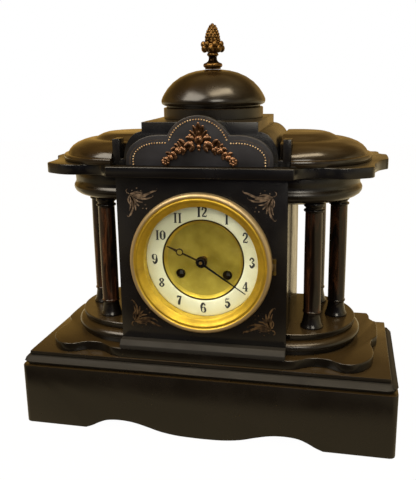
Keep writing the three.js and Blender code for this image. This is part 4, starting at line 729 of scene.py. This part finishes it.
def evenly_along(row, pitch):
    """Even steps along a drawn line, both ends included."""
    path = [Vector(p) for p in row]
    lengths = [0.0]
    for a, b in zip(path, path[1:]):
        lengths.append(lengths[-1] + (b - a).length)
    count = round(lengths[-1] / pitch)
    made = []
    for k in range(count + 1):
        want = lengths[-1] * k / count
        i = max(j for j in range(len(path) - 1) if lengths[j] <= want + 1e-9)
        made.append(path[i].lerp(path[i + 1], (want - lengths[i]) / (lengths[i + 1] - lengths[i])))
    return made


def copy_of(obj, name):
    made = obj.copy()
    made.data = obj.data.copy()
    made.name = name
    bpy.context.scene.collection.objects.link(made)
    return made


low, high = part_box("pediment_block")
sweep = arc((BLOCK_HALF - SHOULDER_REACH, low.z + BLOCK_STEP), SHOULDER_REACH, 0, QUARTER, 14,
            SHOULDER_RISE / SHOULDER_REACH)[1:]
right = [(BLOCK_HALF, low.z), (BLOCK_HALF, low.z + BLOCK_STEP), *sweep, (BLOCK_HALF - SHOULDER_REACH, high.z)]
block = outline_piece("pediment", [(x, BLOCK_FRONT, z) for x, z in both_sides(right)],
                      (0, high.y - BLOCK_FRONT, 0))
soften(block, 0.6 * MM, 2, 40)
dress(block, slate_body, "slate", "pediment_block", angle=30)
for word, side in SIDES:
    for part, inner, outer, tall, round_off in (
            ("_post", high.x - POST_WIDTH, high.x, POST_HEIGHT, 0.8 * MM),
            ("_tie", TIE_FROM, high.x - POST_WIDTH - TIE_GAP, TIE_HEIGHT, 0.5 * MM)):
        a, b = sorted((side * inner, side * outer))
        dress(slab(word + part, (a, low.y, low.z), (b, low.y + POST_DEPTH, low.z + tall), round_off),
              slate_body, "slate")

low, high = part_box("pediment_relief")
lobe = arc(LOBE_CENTRE, LOBE_REACH, 0, QUARTER, 16, LOBE_RISE / LOBE_REACH)
meeting = acos(sqrt(CROWN_RADIUS ** 2 - CROWN_ABOVE_LOBE ** 2) / CROWN_RADIUS)
crown = arc(CROWN_CENTRE, CROWN_RADIUS, meeting, QUARTER, 16)
ring = both_sides([(TREFOIL_HALF, 0), *lobe, *crown[:-1]], [(0, TREFOIL_TOP)])
trefoil = outline_piece("pediment_trefoil", [(x * MM, low.y, low.z + z * MM) for x, z in ring],
                        (0, high.y - low.y, 0))
soften(trefoil, 0.9 * MM, 3, 40)
# Drawn paler and bluer than the other slate: partly the duller rubbed stone, partly a painted reflection of
# cool light.
slate_trefoil = slate_finish("rubbed_slate_face_with_painted_sheen", "#15161b", "#2b2d37", "#302c25", 0.38)
dress(trefoil, slate_trefoil, "slate", "pediment_relief", angle=40)

deselect()
bpy.ops.mesh.primitive_ico_sphere_add(subdivisions=1, radius=BEAD_RADIUS_MM * MM, location=(0, 0, 0))
bead = bpy.context.object
beads = []
for row in face_rows(*BEAD_ROW):
    for x, z in evenly_along(row, BEAD_PITCH_MM):
        one = copy_of(bead, "bead")
        one.location = (x * MM, low.y - 0.2 * MM, low.z + z * MM)
        beads.append(one)
bpy.data.objects.remove(bead)
bead_gilding = gold_leaf_finish("rose_gilt_beads", "#e8cfa8", "#b58f66")
dress(join_as("pediment_beads", beads), bead_gilding, "bronze", angle=80)

lines = [stroke([(x, z + low.z / MM) for x, z in line], LINE_WIDTHS, low.y, LINE_PROUD_MM)
         for line in face_rows(*LINE_ROW)]
line_leaf = gold_leaf_finish("rubbed_line", "#6c5c4c", "#3c332c")
dress(join_as("pediment_line", lines), line_leaf, "bronze", angle=0)


# Dome and drum. A turned slate drum, a recessed neck and a bell-shaped slate dome, all polished and
# waxed, held by the rod of the finial that screws down through them.
DRUM_PROFILE = [(0, 11), (54, 11), (54.5, 10.5), (54.5, 0.4), (54.1, 0), (0, 0)]
DOME_PROFILE = [
    (0, 40), (9, 39.75), (18, 38.6), (27, 36.2), (36, 32.2), (44, 26.6), (50, 20.3), (53.6, 15), (55.6, 11.4),
    (56.8, 8.4), (57, 6.4), (56.4, 4.2), (55.2, 3.2), (54.2, 3), (53.8, 2.4), (51.6, 2.2), (51.4, 0.4),
    (51, 0), (0, 0)]
# This slate is drawn warmer brown: a painted reflection of the warm room on the dome.
slate_dome = slate_finish("waxed_slate_dome", "#0d0a05", "#1d150a", "#2a1e0d", 0.2)
drum_foot, dome_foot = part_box("dome_drum")[0].z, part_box("dome")[0].z
dress(turned_piece("drum", DRUM_PROFILE, (0, SETBACK, drum_foot)), slate_base, "slate", "dome_drum", angle=40)
dress(turned_piece("dome_top", DOME_PROFILE, (0, SETBACK, dome_foot), 128), slate_dome, "slate", "dome",
      angle=40)


# Finial. Gilt bronze, cast and chased: a round foot, a waisted stem, a cup of leaves and a bud with
# rows of scales. The gilding is rubbed to brown in the hollows.
FINIAL_STEM = [
    (0, 18), (4.6, 18), (5.8, 16.6), (6.3, 15.4), (6, 14.4), (4.8, 13.6), (4.4, 12.4), (4.5, 10.4), (5.2, 8.6),
    (7.2, 7), (9.4, 6.2), (10.3, 5.2), (10.4, 3.4), (9.6, 2.2), (8.6, 1.8), (8.4, 0), (0, 0)]
FINIAL_BUD = [
    (0, 48), (1.2, 47.4), (2.6, 45.4), (4.2, 42.4), (5.8, 38.8), (6.9, 35), (7.3, 31.4), (6.9, 28), (5, 25),
    (0, 25)]
FINIAL_CUP = [
    (0, 27), (7.6, 27), (9.6, 26.6), (10.6, 24.6), (10.4, 22), (8.6, 19.6), (5.6, 17.8), (4.4, 17.2), (0, 17)]
# Rings of leaf tips: how many, the share of a step by which they are turned, radius, height, size,
# how tall they are for their width, and how finely they are made.
FINIAL_RINGS = [
    (7, 0, 9.6, 21.6, 3.6, 1.2, 2), (7, 0.5, 9.9, 26.0, 3.0, 1.2, 2), (9, 0, 6.4, 28.4, 2.2, 1.2, 2)]
FINIAL_SCALES = [(30.6, 7.2), (33.6, 7.0), (36.4, 6.3), (39.2, 5.4), (41.8, 4.3), (44.2, 3.0)]
SCALE_PITCH_MM = 4.0


def bronze_finish(name, light, dark):
    """Gilt bronze: warm brown metal, gold where it is rubbed and nearly black in the hollows."""
    made, tree, shader, coord, patch, tone = mottled(
        name, 7.0, (0.2, dark), (0.6, light), detail=5.0, grit=0.6, in_Metallic=1.0)
    geometry = node(tree, "NewGeometry")
    proud = node(tree, "MapRange", (0, geometry, "Pointiness"), in_1=0.44, in_2=0.56)
    rubbed = node(tree, "Math", (0, proud), (1, patch), operation="MULTIPLY")
    wire(tone, (0, rubbed))
    rough = node(tree, "MapRange", (0, patch), in_1=0.3, in_2=0.7, in_3=0.26, in_4=0.46)
    bump = node(tree, "Bump", ("Height", patch), in_Strength=0.25, in_Distance=0.2 * MM)
    wire(shader, ("Roughness", rough), ("Normal", bump))
    return made


def berry(parts, at, radius, shape, fineness):
    """A round berry, scale or leaf tip, cast in one with its neighbours."""
    deselect()
    bpy.ops.mesh.primitive_ico_sphere_add(subdivisions=fineness, radius=radius * MM, location=at)
    bpy.context.object.scale = shape
    parts.append(bpy.context.object)


low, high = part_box("finial")
for row, (height, radius) in enumerate(FINIAL_SCALES):
    count = max(5, round(2 * pi * radius / SCALE_PITCH_MM))
    FINIAL_RINGS.append((count, row % 2 / 2, radius, height, 1.5, 1.4, 1))
foot = (0, SETBACK, low.z)
castings = [turned_piece("finial_top", FINIAL_STEM, foot, 40), turned_piece("bud", FINIAL_BUD, foot, 32),
            turned_piece("cup", FINIAL_CUP, foot, 32)]
for count, offset, radius, height, size, tall, fineness in FINIAL_RINGS:
    for i in range(count):
        turn = 2 * pi * (i + offset) / count
        spot = (radius * MM * sin(turn), SETBACK - radius * MM * cos(turn), low.z + height * MM)
        berry(castings, spot, size, (1, 1, tall), fineness)
finial = join_as("finial_top", castings)
settle(finial)
for v in finial.data.vertices:
    v.co.z = min(v.co.z, high.z)
dress(finial, bronze_finish("gilt_bronze", "#86663a", "#22170c"), "bronze", "finial", angle=50)


# Bezel. A ring of lacquered brass, spun to a stepped section, hinged at 3 o'clock by a knuckle on a
# small tab. It carries the flat glass.
BEZEL_PROFILE = [
    (61, 2.2), (61.5, 2.6), (63, 3.3), (64.8, 4.2), (66.2, 5.2), (66.8, 5.9), (67.3, 6.3), (68.3, 6.6),
    (69.2, 6.4), (69.8, 6.0), (70.1, 6.1), (70.6, 6.7), (71.4, 7.15), (72.5, 7.2), (73.6, 6.8), (74.6, 5.9),
    (75.4, 4.7), (75.7, 3.2), (75.7, 0), (64.3, 0), (64.3, 1.6), (61, 1.6), (61, 2.2)]
PANE_PROFILE = [(0, -1.3), (63.6, -1.3), (64, -1.0), (64, -0.3), (63.7, 0), (0, 0)]
KNUCKLE = 1.8 * MM
KNUCKLE_LONG = 7 * MM
TAB_FROM = 72 * MM


def brass_finish(name, bright, dull, roughness, spot_mm, metallic=1.0):
    """Lacquered brass: yellow, with darker tarnish in soft patches and fine turning marks."""
    made, tree, shader, coord, patch, tone = mottled(
        name, spot_mm, (0.35, dull), (0.6, bright), detail=5.0, grit=0.6, in_Metallic=metallic)
    rough = node(tree, "MapRange", (0, patch), in_1=0.3, in_2=0.7, in_3=roughness + 0.12, in_4=roughness)
    fine = node(tree, "TexNoise", ("Vector", coord, "Object"), in_Scale=1000 / 0.8, in_Detail=2.0)
    bump = node(tree, "Bump", ("Height", fine), in_Strength=0.04, in_Distance=0.02 * MM)
    wire(shader, ("Roughness", rough), ("Normal", bump))
    return made


def rub_rim(made, inner, outer, share, color):
    """From one radius to the next, in millimetres from the dial's centre, another tone sets in: a pale
    band or a brown edge, as each use below says."""
    tree = made.node_tree
    shader = tree.nodes["Principled BSDF"]
    yellow = shader.inputs["Base Color"].links[0].from_socket
    coord = node(tree, "TexCoord")
    centred = node(tree, "VectorMath", (0, coord, "Object"), operation="SUBTRACT", in_1=(0, 0, DIAL_Z))
    flat = node(tree, "VectorMath", (0, centred), operation="MULTIPLY", in_1=(1, 0, 1))
    radius = node(tree, "VectorMath", (0, flat), operation="LENGTH")
    rim = node(tree, "MapRange", (0, radius, "Value"), in_1=inner * MM, in_2=outer * MM, in_4=share)
    rimmed = node(tree, "Mix", (0, rim), data_type="RGBA", in_7=color)
    tree.links.new(yellow, rimmed.inputs[6])
    wire(shader, ("Base Color", rimmed, 2))


def glass_finish():
    """Clear sheet glass, slightly green and slightly wavy, that lets light through to the dial."""
    made, tree, shader = new_material("dial_glass")
    coord = node(tree, "TexCoord")
    wave = node(tree, "TexNoise", ("Vector", coord, "Object"), in_Scale=1000 / 40.0, in_Detail=1.0)
    bump = node(tree, "Bump", ("Height", wave), in_Strength=0.04, in_Distance=0.2 * MM)
    wire(shader, ("Normal", bump), in_Base_Color="#fbfffd", in_Roughness=0.02,
         in_Transmission_Weight=1.0, in_IOR=1.46)
    path = node(tree, "LightPath")
    clear = node(tree, "BsdfTransparent", in_Color=(0.96, 0.98, 0.97, 1))
    mixed = node(tree, "MixShader", (0, path, "Is Shadow Ray"), (1, shader), (2, clear))
    wire(tree.nodes["Material Output"], ("Surface", mixed))
    return made


bezel_brass = brass_finish("lacquered_brass", "#dcbb3c", "#b99a36", 0.36, 22.0, 0.72)
# A pale cream band on the bezel's crest: partly bare brass where cloths have gone round, partly a painted
# highlight.
rub_rim(bezel_brass, 70.4, 71.8, 0.8, "#c2b092")
# Brown from 75.8 mm out, on the knuckle and its tab.
rub_rim(bezel_brass, 75.8, 76.4, 0.9, "#4a3a1c")
pane_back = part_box("bezel_glass")[1].y
spun_ring = turned_piece("bezel", [(r, -d) for r, d in BEZEL_PROFILE], (0, pane_back, DIAL_Z), 144,
                         FRONT_TO_BACK)
axis_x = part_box("front_bezel")[1].x - KNUCKLE
knuckle = rod(KNUCKLE, KNUCKLE_LONG, (axis_x, pane_back - KNUCKLE / 2, DIAL_Z), 24, upright=True)
plane_off(knuckle, 0.25 * MM)
tab = slab("tab", (TAB_FROM, pane_back - 1.6 * MM, DIAL_Z - KNUCKLE_LONG / 2),
           (axis_x, pane_back - 0.1 * MM, DIAL_Z + KNUCKLE_LONG / 2), 0.3 * MM)
dress(join_as("bezel", [spun_ring, knuckle, tab]), bezel_brass, "polished_brass", "front_bezel",
      body="bezel", angle=40)
pane = turned_piece("dial_pane", PANE_PROFILE, (0, pane_back, DIAL_Z), 96, FRONT_TO_BACK)
dress(pane, glass_finish(), "glass", "bezel_glass", body="bezel", angle=40)


# Chapter ring. Cream enamel fired on a domed copper ring, with the hours painted on in fat upright
# figures of fired black. Each figure is a set of thick and thin strokes on a grid 10.4 mm tall.
CHAPTER_PROFILE = [
    (43, 0), (43, -1.1), (43.4, -1.5), (46, -1.85), (51.7, -2.0), (57, -1.75), (59.2, -1.3), (59.8, -0.9),
    (59.8, 0), (43, 0)]
NUMERAL_TALL_MM = 10.4
NUMERAL_RADIUS_MM = 50.9
DIGIT_GAP_MM = 0.7
NUMERAL_SUNK, NUMERAL_PROUD_MM = 0.15 * MM, 0.25
HAIR = (0.7, 0.7, 0.7)
BALL = (1.4, 1.7, 1.4)
BOWL = [
    ([(4.6, 8.4), (2.9, 10.1), (1.0, 7.6), (0.9, 4)], (0.6, 1.9, 1.7)),
    ([(0.9, 4.2), (1.2, 1.4), (2.9, 0.3)], (1.7, 1.5, 0.5)),
    ([(2.9, 0.3), (4.8, 1.4), (4.9, 3.4), (4.3, 5.4), (2.9, 6)], (0.5, 2.3, 0.5)),
    ([(2.9, 6), (1.6, 5.4)], (0.5, 0.6, 0.6)), ([(4.3, 9.2), (4.7, 7.8)], (1.3, 1.7, 1.3))]
DIGITS = {
    "0": (5.8, [([(2.9, 10.1), (1.0, 8), (0.9, 5.2), (1.0, 2.4), (2.9, 0.3)], (0.4, 2.4, 0.4)),
        ([(2.9, 10.1), (4.8, 8), (4.9, 5.2), (4.8, 2.4), (2.9, 0.3)], (0.4, 2.4, 0.4))]),
    "1": (4.0, [([(2, 0.5), (2, 5), (2, 9.8)], (2.0, 2.0, 2.0)),
        ([(0.4, 0.35), (2, 0.35), (3.6, 0.35)], HAIR), ([(0.4, 9.95), (2, 9.95), (3.6, 9.95)], HAIR)]),
    "2": (5.6, [
        ([(0.9, 7.6), (1.4, 9.6), (2.9, 10.1), (4.7, 8.6), (4, 5.6), (1.6, 2.6), (0.9, 1)], (0.8, 2.0, 0.6)),
        ([(0.6, 8.4), (1.6, 7.4)], BALL), ([(0.7, 0.8), (2.6, 1.1), (4.6, 0.7), (5.1, 2.4)], (1.0, 1.5, 0.5))]),
    "3": (5.6, [([(0.9, 8.4), (2.7, 10.1), (4.7, 7.9), (2.6, 5.5)], (0.9, 2.0, 0.5)),
        ([(0.6, 8.7), (1.6, 7.7)], BALL), ([(2.6, 5.5), (5, 3.2), (2.7, 0.3), (0.8, 2)], (0.5, 2.2, 0.9)),
        ([(0.6, 1.7), (1.6, 2.7)], BALL)]),
    "4": (6.0, [([(3.9, 9.9), (2.2, 6.6), (0.5, 3.2)], (0.6, 0.8, 0.6)),
        ([(0.3, 3.1), (3, 3.1), (5.8, 3.1)], (0.8, 0.8, 0.8)), ([(4, 0.6), (4, 5), (4, 10)], (1.9, 1.9, 1.9)),
        ([(2.5, 0.35), (4, 0.35), (5.5, 0.35)], HAIR)]),
    "5": (5.6, [([(1.2, 9.6), (3, 9.4), (4.8, 9.8)], (1.2, 1.5, 0.5)),
        ([(1.2, 9.6), (1.1, 7.4), (1.0, 5.3)], HAIR),
        ([(1.0, 5.3), (3, 6.3), (4.9, 3.6), (2.8, 0.3), (0.9, 2)], (0.6, 2.3, 0.9)),
        ([(0.6, 1.8), (1.6, 2.8)], BALL)]),
    "6": (5.8, BOWL),
    "7": (5.6, [([(0.6, 7.8), (0.9, 9.5), (2.8, 9.3), (5, 9.9)], (0.6, 1.9, 0.6)),
        ([(5, 9.9), (3.2, 6), (2.5, 3), (2.4, 0.4)], (0.5, 1.8, 2.2))]),
    "8": (5.8, [([(2.9, 10.1), (1.1, 8), (2.9, 5.5)], (0.4, 1.9, 0.5)),
        ([(2.9, 10.1), (4.7, 8), (2.9, 5.5)], (0.4, 1.9, 0.5)),
        ([(2.9, 5.5), (0.9, 2.9), (2.9, 0.3)], (0.5, 2.2, 0.4)),
        ([(2.9, 5.5), (4.9, 2.9), (2.9, 0.3)], (0.5, 2.2, 0.4))]),
    "9": (5.8, [([(5.8 - x, NUMERAL_TALL_MM - z) for x, z in points], widths) for points, widths in BOWL]),
}


low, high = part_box("chapter_ring")
chapter = turned_piece("enamel_ring", CHAPTER_PROFILE, (0, high.y, DIAL_Z), 128, FRONT_TO_BACK)
# Enamel: glossy, a little patchy and greenish with age.
enamel = mottled("cream_enamel", 35.0, (0.3, "#cdcbac"), (0.7, "#e2e0ca"), in_Roughness=0.22,
                 in_Coat_Weight=0.4)[0]
dress(chapter, enamel, "enamel", "chapter_ring", angle=40)
# Fired enamel paint: blue-black, and duller than the ring.
fired_black = mottled("fired_black", 2.0, (0, "#0d0f12"), (1, "#23262a"), detail=2.0, in_Roughness=0.4)[0]
for hour in range(1, 13):
    word = str(hour)
    turn = radians(30 * hour)
    wide = sum(DIGITS[digit][0] for digit in word) + DIGIT_GAP_MM * (len(word) - 1)
    left = NUMERAL_RADIUS_MM * sin(turn) - wide / 2
    foot = DIAL_Z / MM + NUMERAL_RADIUS_MM * cos(turn) - NUMERAL_TALL_MM / 2
    strokes = []
    for digit in word:
        wide, drawn = DIGITS[digit]
        for points, widths in drawn:
            strokes.append(stroke([(left + x, foot + z) for x, z in points], widths,
                                  low.y + NUMERAL_SUNK, NUMERAL_PROUD_MM))
        left += wide + DIGIT_GAP_MM
    dress(join_as("numeral_" + word, strokes), fired_black, "enamel", angle=0)


# Dial centre. A dished brass plate, matt gilt to a soft grain, with a stepped rim, two winding holes
# and the hole for the hands. Three feet behind it are pinned to the movement.
PLATE_PROFILE = [
    (0, 3.5), (37.6, 3.5), (38.2, 3.4), (41.1, 0.25), (41.5, 0.0), (42.5, 0.0), (42.7, 0.25), (42.7, 1.0),
    (63.8, 1.0), (63.8, 2.6), (40.6, 2.6), (39.2, 5.1), (0, 5.1), (0, 3.5)]
DISH_DEEP = 5.1 * MM
WIND_OUT, WIND_TURN = 29.1 * MM, -0.58
WIND_X, WIND_Z = WIND_OUT * cos(WIND_TURN), DIAL_Z + WIND_OUT * sin(WIND_TURN)
DIAL_HOLES = [(WIND_X, WIND_Z, 5 * MM), (-WIND_X, WIND_Z, 5 * MM), (0, DIAL_Z, 3.6 * MM)]
HOLE_DRILL = 30 * MM
DIAL_FEET = (34.6, 145.4, 270)
DIAL_FOOT_OUT, DIAL_FOOT_RADIUS, DIAL_FOOT_SUNK = 35, 2.2 * MM, 0.4 * MM


def gilding_finish():
    """Matt gilding with a fine grain: olive-gold with age, and painted shade in brown outside the stepped rim,
    under the chapter ring's edge.
    """
    made, tree, shader, coord, patch, tone = mottled(
        "matt_gilding", 18.0, (0.3, "#a08c30"), (0.7, "#c9b34c"), detail=5.0, in_Metallic=0.85,
        in_Roughness=0.42)
    fine = node(tree, "TexVoronoi", ("Vector", coord, "Object"), in_Scale=1000 / 0.9)
    bump = node(tree, "Bump", ("Height", fine, "Distance"), in_Strength=0.2, in_Distance=0.08 * MM)
    wire(shader, ("Normal", bump))
    # Painted shade: brown from 41 mm out, for the dark line in the gap under the chapter ring's inner edge.
    rub_rim(made, 41.0, 41.5, 1.0, "#3b2c12")
    return made


low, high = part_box("dial_plate")
plate = turned_piece("gilt_dial", PLATE_PROFILE, (0, low.y, DIAL_Z), 128, FRONT_TO_BACK)
for x, z, radius in DIAL_HOLES:
    cut_with(plate, rod(radius, HOLE_DRILL, (x, low.y, z), 40))
dial_parts = [plate]
dish_back = low.y + DISH_DEEP
for degrees in DIAL_FEET:
    turn = radians(degrees)
    spot = (DIAL_FOOT_OUT * cos(turn) * MM, (dish_back + high.y) / 2,
            DIAL_Z + DIAL_FOOT_OUT * sin(turn) * MM)
    dial_parts.append(rod(DIAL_FOOT_RADIUS, high.y - dish_back + DIAL_FOOT_SUNK, spot, 20))
dress(join_as("gilt_dial", dial_parts), gilding_finish(), "polished_brass", "dial_plate", angle=30)


# Hands. Sawn from thin steel and filed up. The minute hand is blued nearly black and the hour hand,
# with a ring near its tip, has gone brown. Both are pushed on their arbors.
def filed_finish(name, patch_mm, dark, light, roughness, metallic=1.0):
    """Filed, blued or dulled metal: a soft sheen that varies a little with the finisher's hand."""
    return mottled(name, patch_mm, (0.35, dark), (0.65, light), in_Metallic=metallic, in_Roughness=roughness)[0]


def keep(finish, *node_names):
    """A piece whose CAD shape is already right keeps it and gets its finish."""
    for node_name in node_names:
        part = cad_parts[node_name]
        part.data.materials.clear()
        part.data.materials.append(finish)


keep(filed_finish("blued_steel", 6.0, "#0e1016", "#1c2230", 0.32, 0.9), "minute_hand")
keep(filed_finish("browned_steel", 6.0, "#2a2016", "#4a3924", 0.4, 0.9), "hour_hand")


# Pediment mount. A cast bronze spray of leaves and two swags of flowers, gilt and gone brown, pinned
# to the face of the pediment. Places are in millimetres from the spray's middle.
LEAF_THICK = 1.2 * MM
LEAF_RIBS, LEAF_ROWS = 4, 6
MIDDLE_ABOVE_FOOT = 26.4 * MM
# Crown leaves: the angle from upright and the scale.
CROWN_LEAVES = [(0, 1.0), (-20, 0.84), (20, 0.84), (-44, 0.66), (44, 0.66)]
# Berries down the middle: across, up, radius, how proud, and how flat.
MIDDLE_BERRIES = [
    (0, 0, 5.2, 0.4, 0.7), (0, 1.2, 3.4, 1.8, 0.62), (0, 8.4, 2.2, 1.6, 0.8), (0, 13.2, 1.8, 1.5, 0.8),
    (0, -6.6, 2.6, 1.2, 0.8), (0, -9.6, 1.6, 0.9, 0.8)]
# Side leaves: across, up, angle, scale and how proud.
SIDE_LEAVES = [
    (4.6, 1.6, 84, 0.9, 1.3), (5.4, -2.6, 112, 1.1, 1.4), (5, -5.4, 146, 0.8, 1.2), (14, -4.6, 48, 0.85, 1.6),
    (19, -7.4, 20, 0.7, 1.4), (12, -5.4, 60, 0.7, 0.9), (19, -8.6, 52, 0.8, 0.9), (22, -8.4, 100, 0.75, 0.9),
    (15.6, -9.6, 170, 0.6, 0.9), (24, -14.6, 176, 0.55, 0.9), (29, -14.4, 70, 0.6, 0.9)]
SWAG_LINE = [(7, -4.4), (13, -7.6), (20, -10.6), (27, -14.8), (32.6, -19.6), (35, -21.6)]
SIDE_BUDS = [(8.8, 4.4, 1.9, 1.3), (6.2, 7.4, 1.5, 1.2)]
ROSETTES = [(21.4, -10.4, 3.6, 6), (34.6, -21.4, 4.6, 7)]

low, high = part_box("pediment_mount")
spray_middle = Vector(((low.x + high.x) / 2, high.y, low.z + MIDDLE_ABOVE_FOOT))
cast_parts = []


def on_face(u, v, rise):
    return (spray_middle[0] + u * MM, spray_middle[1] - rise * MM, spray_middle[2] + v * MM)


def leaf_pattern(name, length, width, curl):
    """A pointed leaf that stands up along Z and curls towards -Y, with a raised midrib."""
    deselect()
    bpy.ops.mesh.primitive_grid_add(x_subdivisions=LEAF_RIBS, y_subdivisions=LEAF_ROWS, size=1)
    made = bpy.context.object
    made.name = name
    for v in made.data.vertices:
        along = v.co.y + 0.5
        share = sin(pi * min(1.0, along * 0.86 + 0.12)) ** 0.7
        rib = (1 - abs(v.co.x) * 2) * LEAF_THICK * 1.2 * share
        v.co = Vector((v.co.x * width * share, -curl * along ** 2.4 * length - rib, along * length))
    wall = made.modifiers.new("wall", "SOLIDIFY")
    wall.thickness = LEAF_THICK
    wall.offset = 0
    round_off = made.modifiers.new("round", "SUBSURF")
    round_off.levels = round_off.render_levels = 1
    apply_all(made)
    return made


def lay_leaf(leaf, u, v, degrees, scale, rise):
    """Lays a copy of a leaf on the face, its stalk at (u, v) and its tip towards a clock angle."""
    one = copy_of(leaf, "leaf")
    turn = Matrix.Rotation(radians(degrees), 4, "Y")
    one.matrix_world = Matrix.Translation(on_face(u, v, rise)) @ turn @ Matrix.Scale(scale, 4)
    cast_parts.append(one)


def boss(u, v, radius, rise, flat=0.8):
    berry(cast_parts, on_face(u, v, rise), radius, (1, flat, 1), 2)


def rosette(u, v, radius, petals):
    for i in range(petals):
        turn = 2 * pi * (i + 0.3) / petals
        boss(u + radius * 0.62 * cos(turn), v + radius * 0.62 * sin(turn), radius * 0.42, 1.3, 0.9)
    boss(u, v, radius * 0.36, 2.4, 0.9)


long_leaf = leaf_pattern("long_leaf", 13 * MM, 5.6 * MM, 0.14)
wide_leaf = leaf_pattern("wide_leaf", 9.5 * MM, 6.4 * MM, 0.16)
for degrees, scale in CROWN_LEAVES:
    turn = radians(degrees)
    lay_leaf(long_leaf, 4.4 * sin(turn), 4.8 * cos(turn), degrees, scale, 1.4)
for berry_at in MIDDLE_BERRIES:
    boss(*berry_at)
for side in (-1, 1):
    for u, v, degrees, scale, rise in SIDE_LEAVES:
        lay_leaf(wide_leaf, side * u, v, side * degrees, scale, rise)
    for u, v, radius, rise in SIDE_BUDS:
        boss(side * u, v, radius, rise)
    for i, (u, v) in enumerate(curve_through(SWAG_LINE, 3)[:-2]):
        boss(side * u, v + 1.3 * (1 if i % 2 else -1), 2.5 + 0.6 * sin(i * 2.1), 1.1)
        if i % 2 == 0:
            boss(side * (u + 0.6), v, 1.3, 2.3)
    for u, v, radius, petals in ROSETTES:
        rosette(side * u, v, radius, petals)
bpy.data.objects.remove(long_leaf)
bpy.data.objects.remove(wide_leaf)
mount = join_as("bronze_spray", cast_parts)
settle(mount)
for v in mount.data.vertices:
    v.co = [within(*span) for span in zip(v.co, low, high)]
dress(mount, bronze_finish("brown_gilt_mount", "#a37c60", "#1a100a"), "bronze", "pediment_mount", angle=50)


# Dial ring, rear ring, straps and rear door. Brass rings at the front and back of the case, drawn
# together by two long strips so that the movement hangs between them. The rear parts are tarnished.
ring_brass = brass_finish("bright_ring_brass", "#e2c44c", "#c4a233", 0.44, 20.0, 0.72)
# Brown from 73 mm out, on the dial ring's edge.
rub_rim(ring_brass, 73.0, 73.6, 0.9, "#4a3a1c")
keep(ring_brass, "dial_ring")
keep(brass_finish("tarnished_brass", "#8a6c36", "#705629", 0.36, 30.0),
     "rear_ring", "left_strap", "right_strap", "rear_door")


# Movement. Two brass plates with their pillars, the barrels, wheels and pinions between them, the
# striking fly, and steel anchor, hammer and bell stand. The pendulum hangs behind, under the bell.
ARBOR_AHEAD_OF = -36 * MM


def barrel_finish():
    """Brass barrel on a steel arbor: the part that stands out in front of the plate is the square."""
    made, tree, shader = new_material("brass_barrel_steel_arbor")
    coord = node(tree, "TexCoord")
    spot = node(tree, "SeparateXYZ", (0, coord, "Object"))
    ahead = node(tree, "Math", (0, spot, "Y"), operation="LESS_THAN", in_1=ARBOR_AHEAD_OF)
    color = node(tree, "Mix", (0, ahead), data_type="RGBA", in_6="#a8874a", in_7="#8a8882")
    wire(shader, ("Base Color", color, 2), in_Metallic=1.0, in_Roughness=0.3)
    return made


# The front plate is drawn darker than brass: painted shade, so that the winding holes look dark.
keep(filed_finish("shade_darkened_brass_plate", 20.0, "#3a2c16", "#5c4824", 0.55, 0.6), "movement_front_plate")
keep(barrel_finish(), "going_barrel", "strike_barrel")
keep(brass_finish("grained_brass", "#b8934a", "#a07f3f", 0.34, 25.0),
     "movement_back_plate", "intermediate_wheel", "centre_wheel", "third_wheel", "escape_wheel",
     "minute_wheel", "hour_wheel", "pin_wheel", "fly", "suspension_cock", "pendulum")
keep(filed_finish("grey_steel", 6.0, "#4b4c4e", "#6b6a68", 0.38), "anchor", "hammer", "bell_stand")
keep(brass_finish("bell_metal", "#c9a36a", "#9c7a4c", 0.22, 25.0), "bell")

size = {"cad": cad_box, "visual": [list(corner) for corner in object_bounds()]}
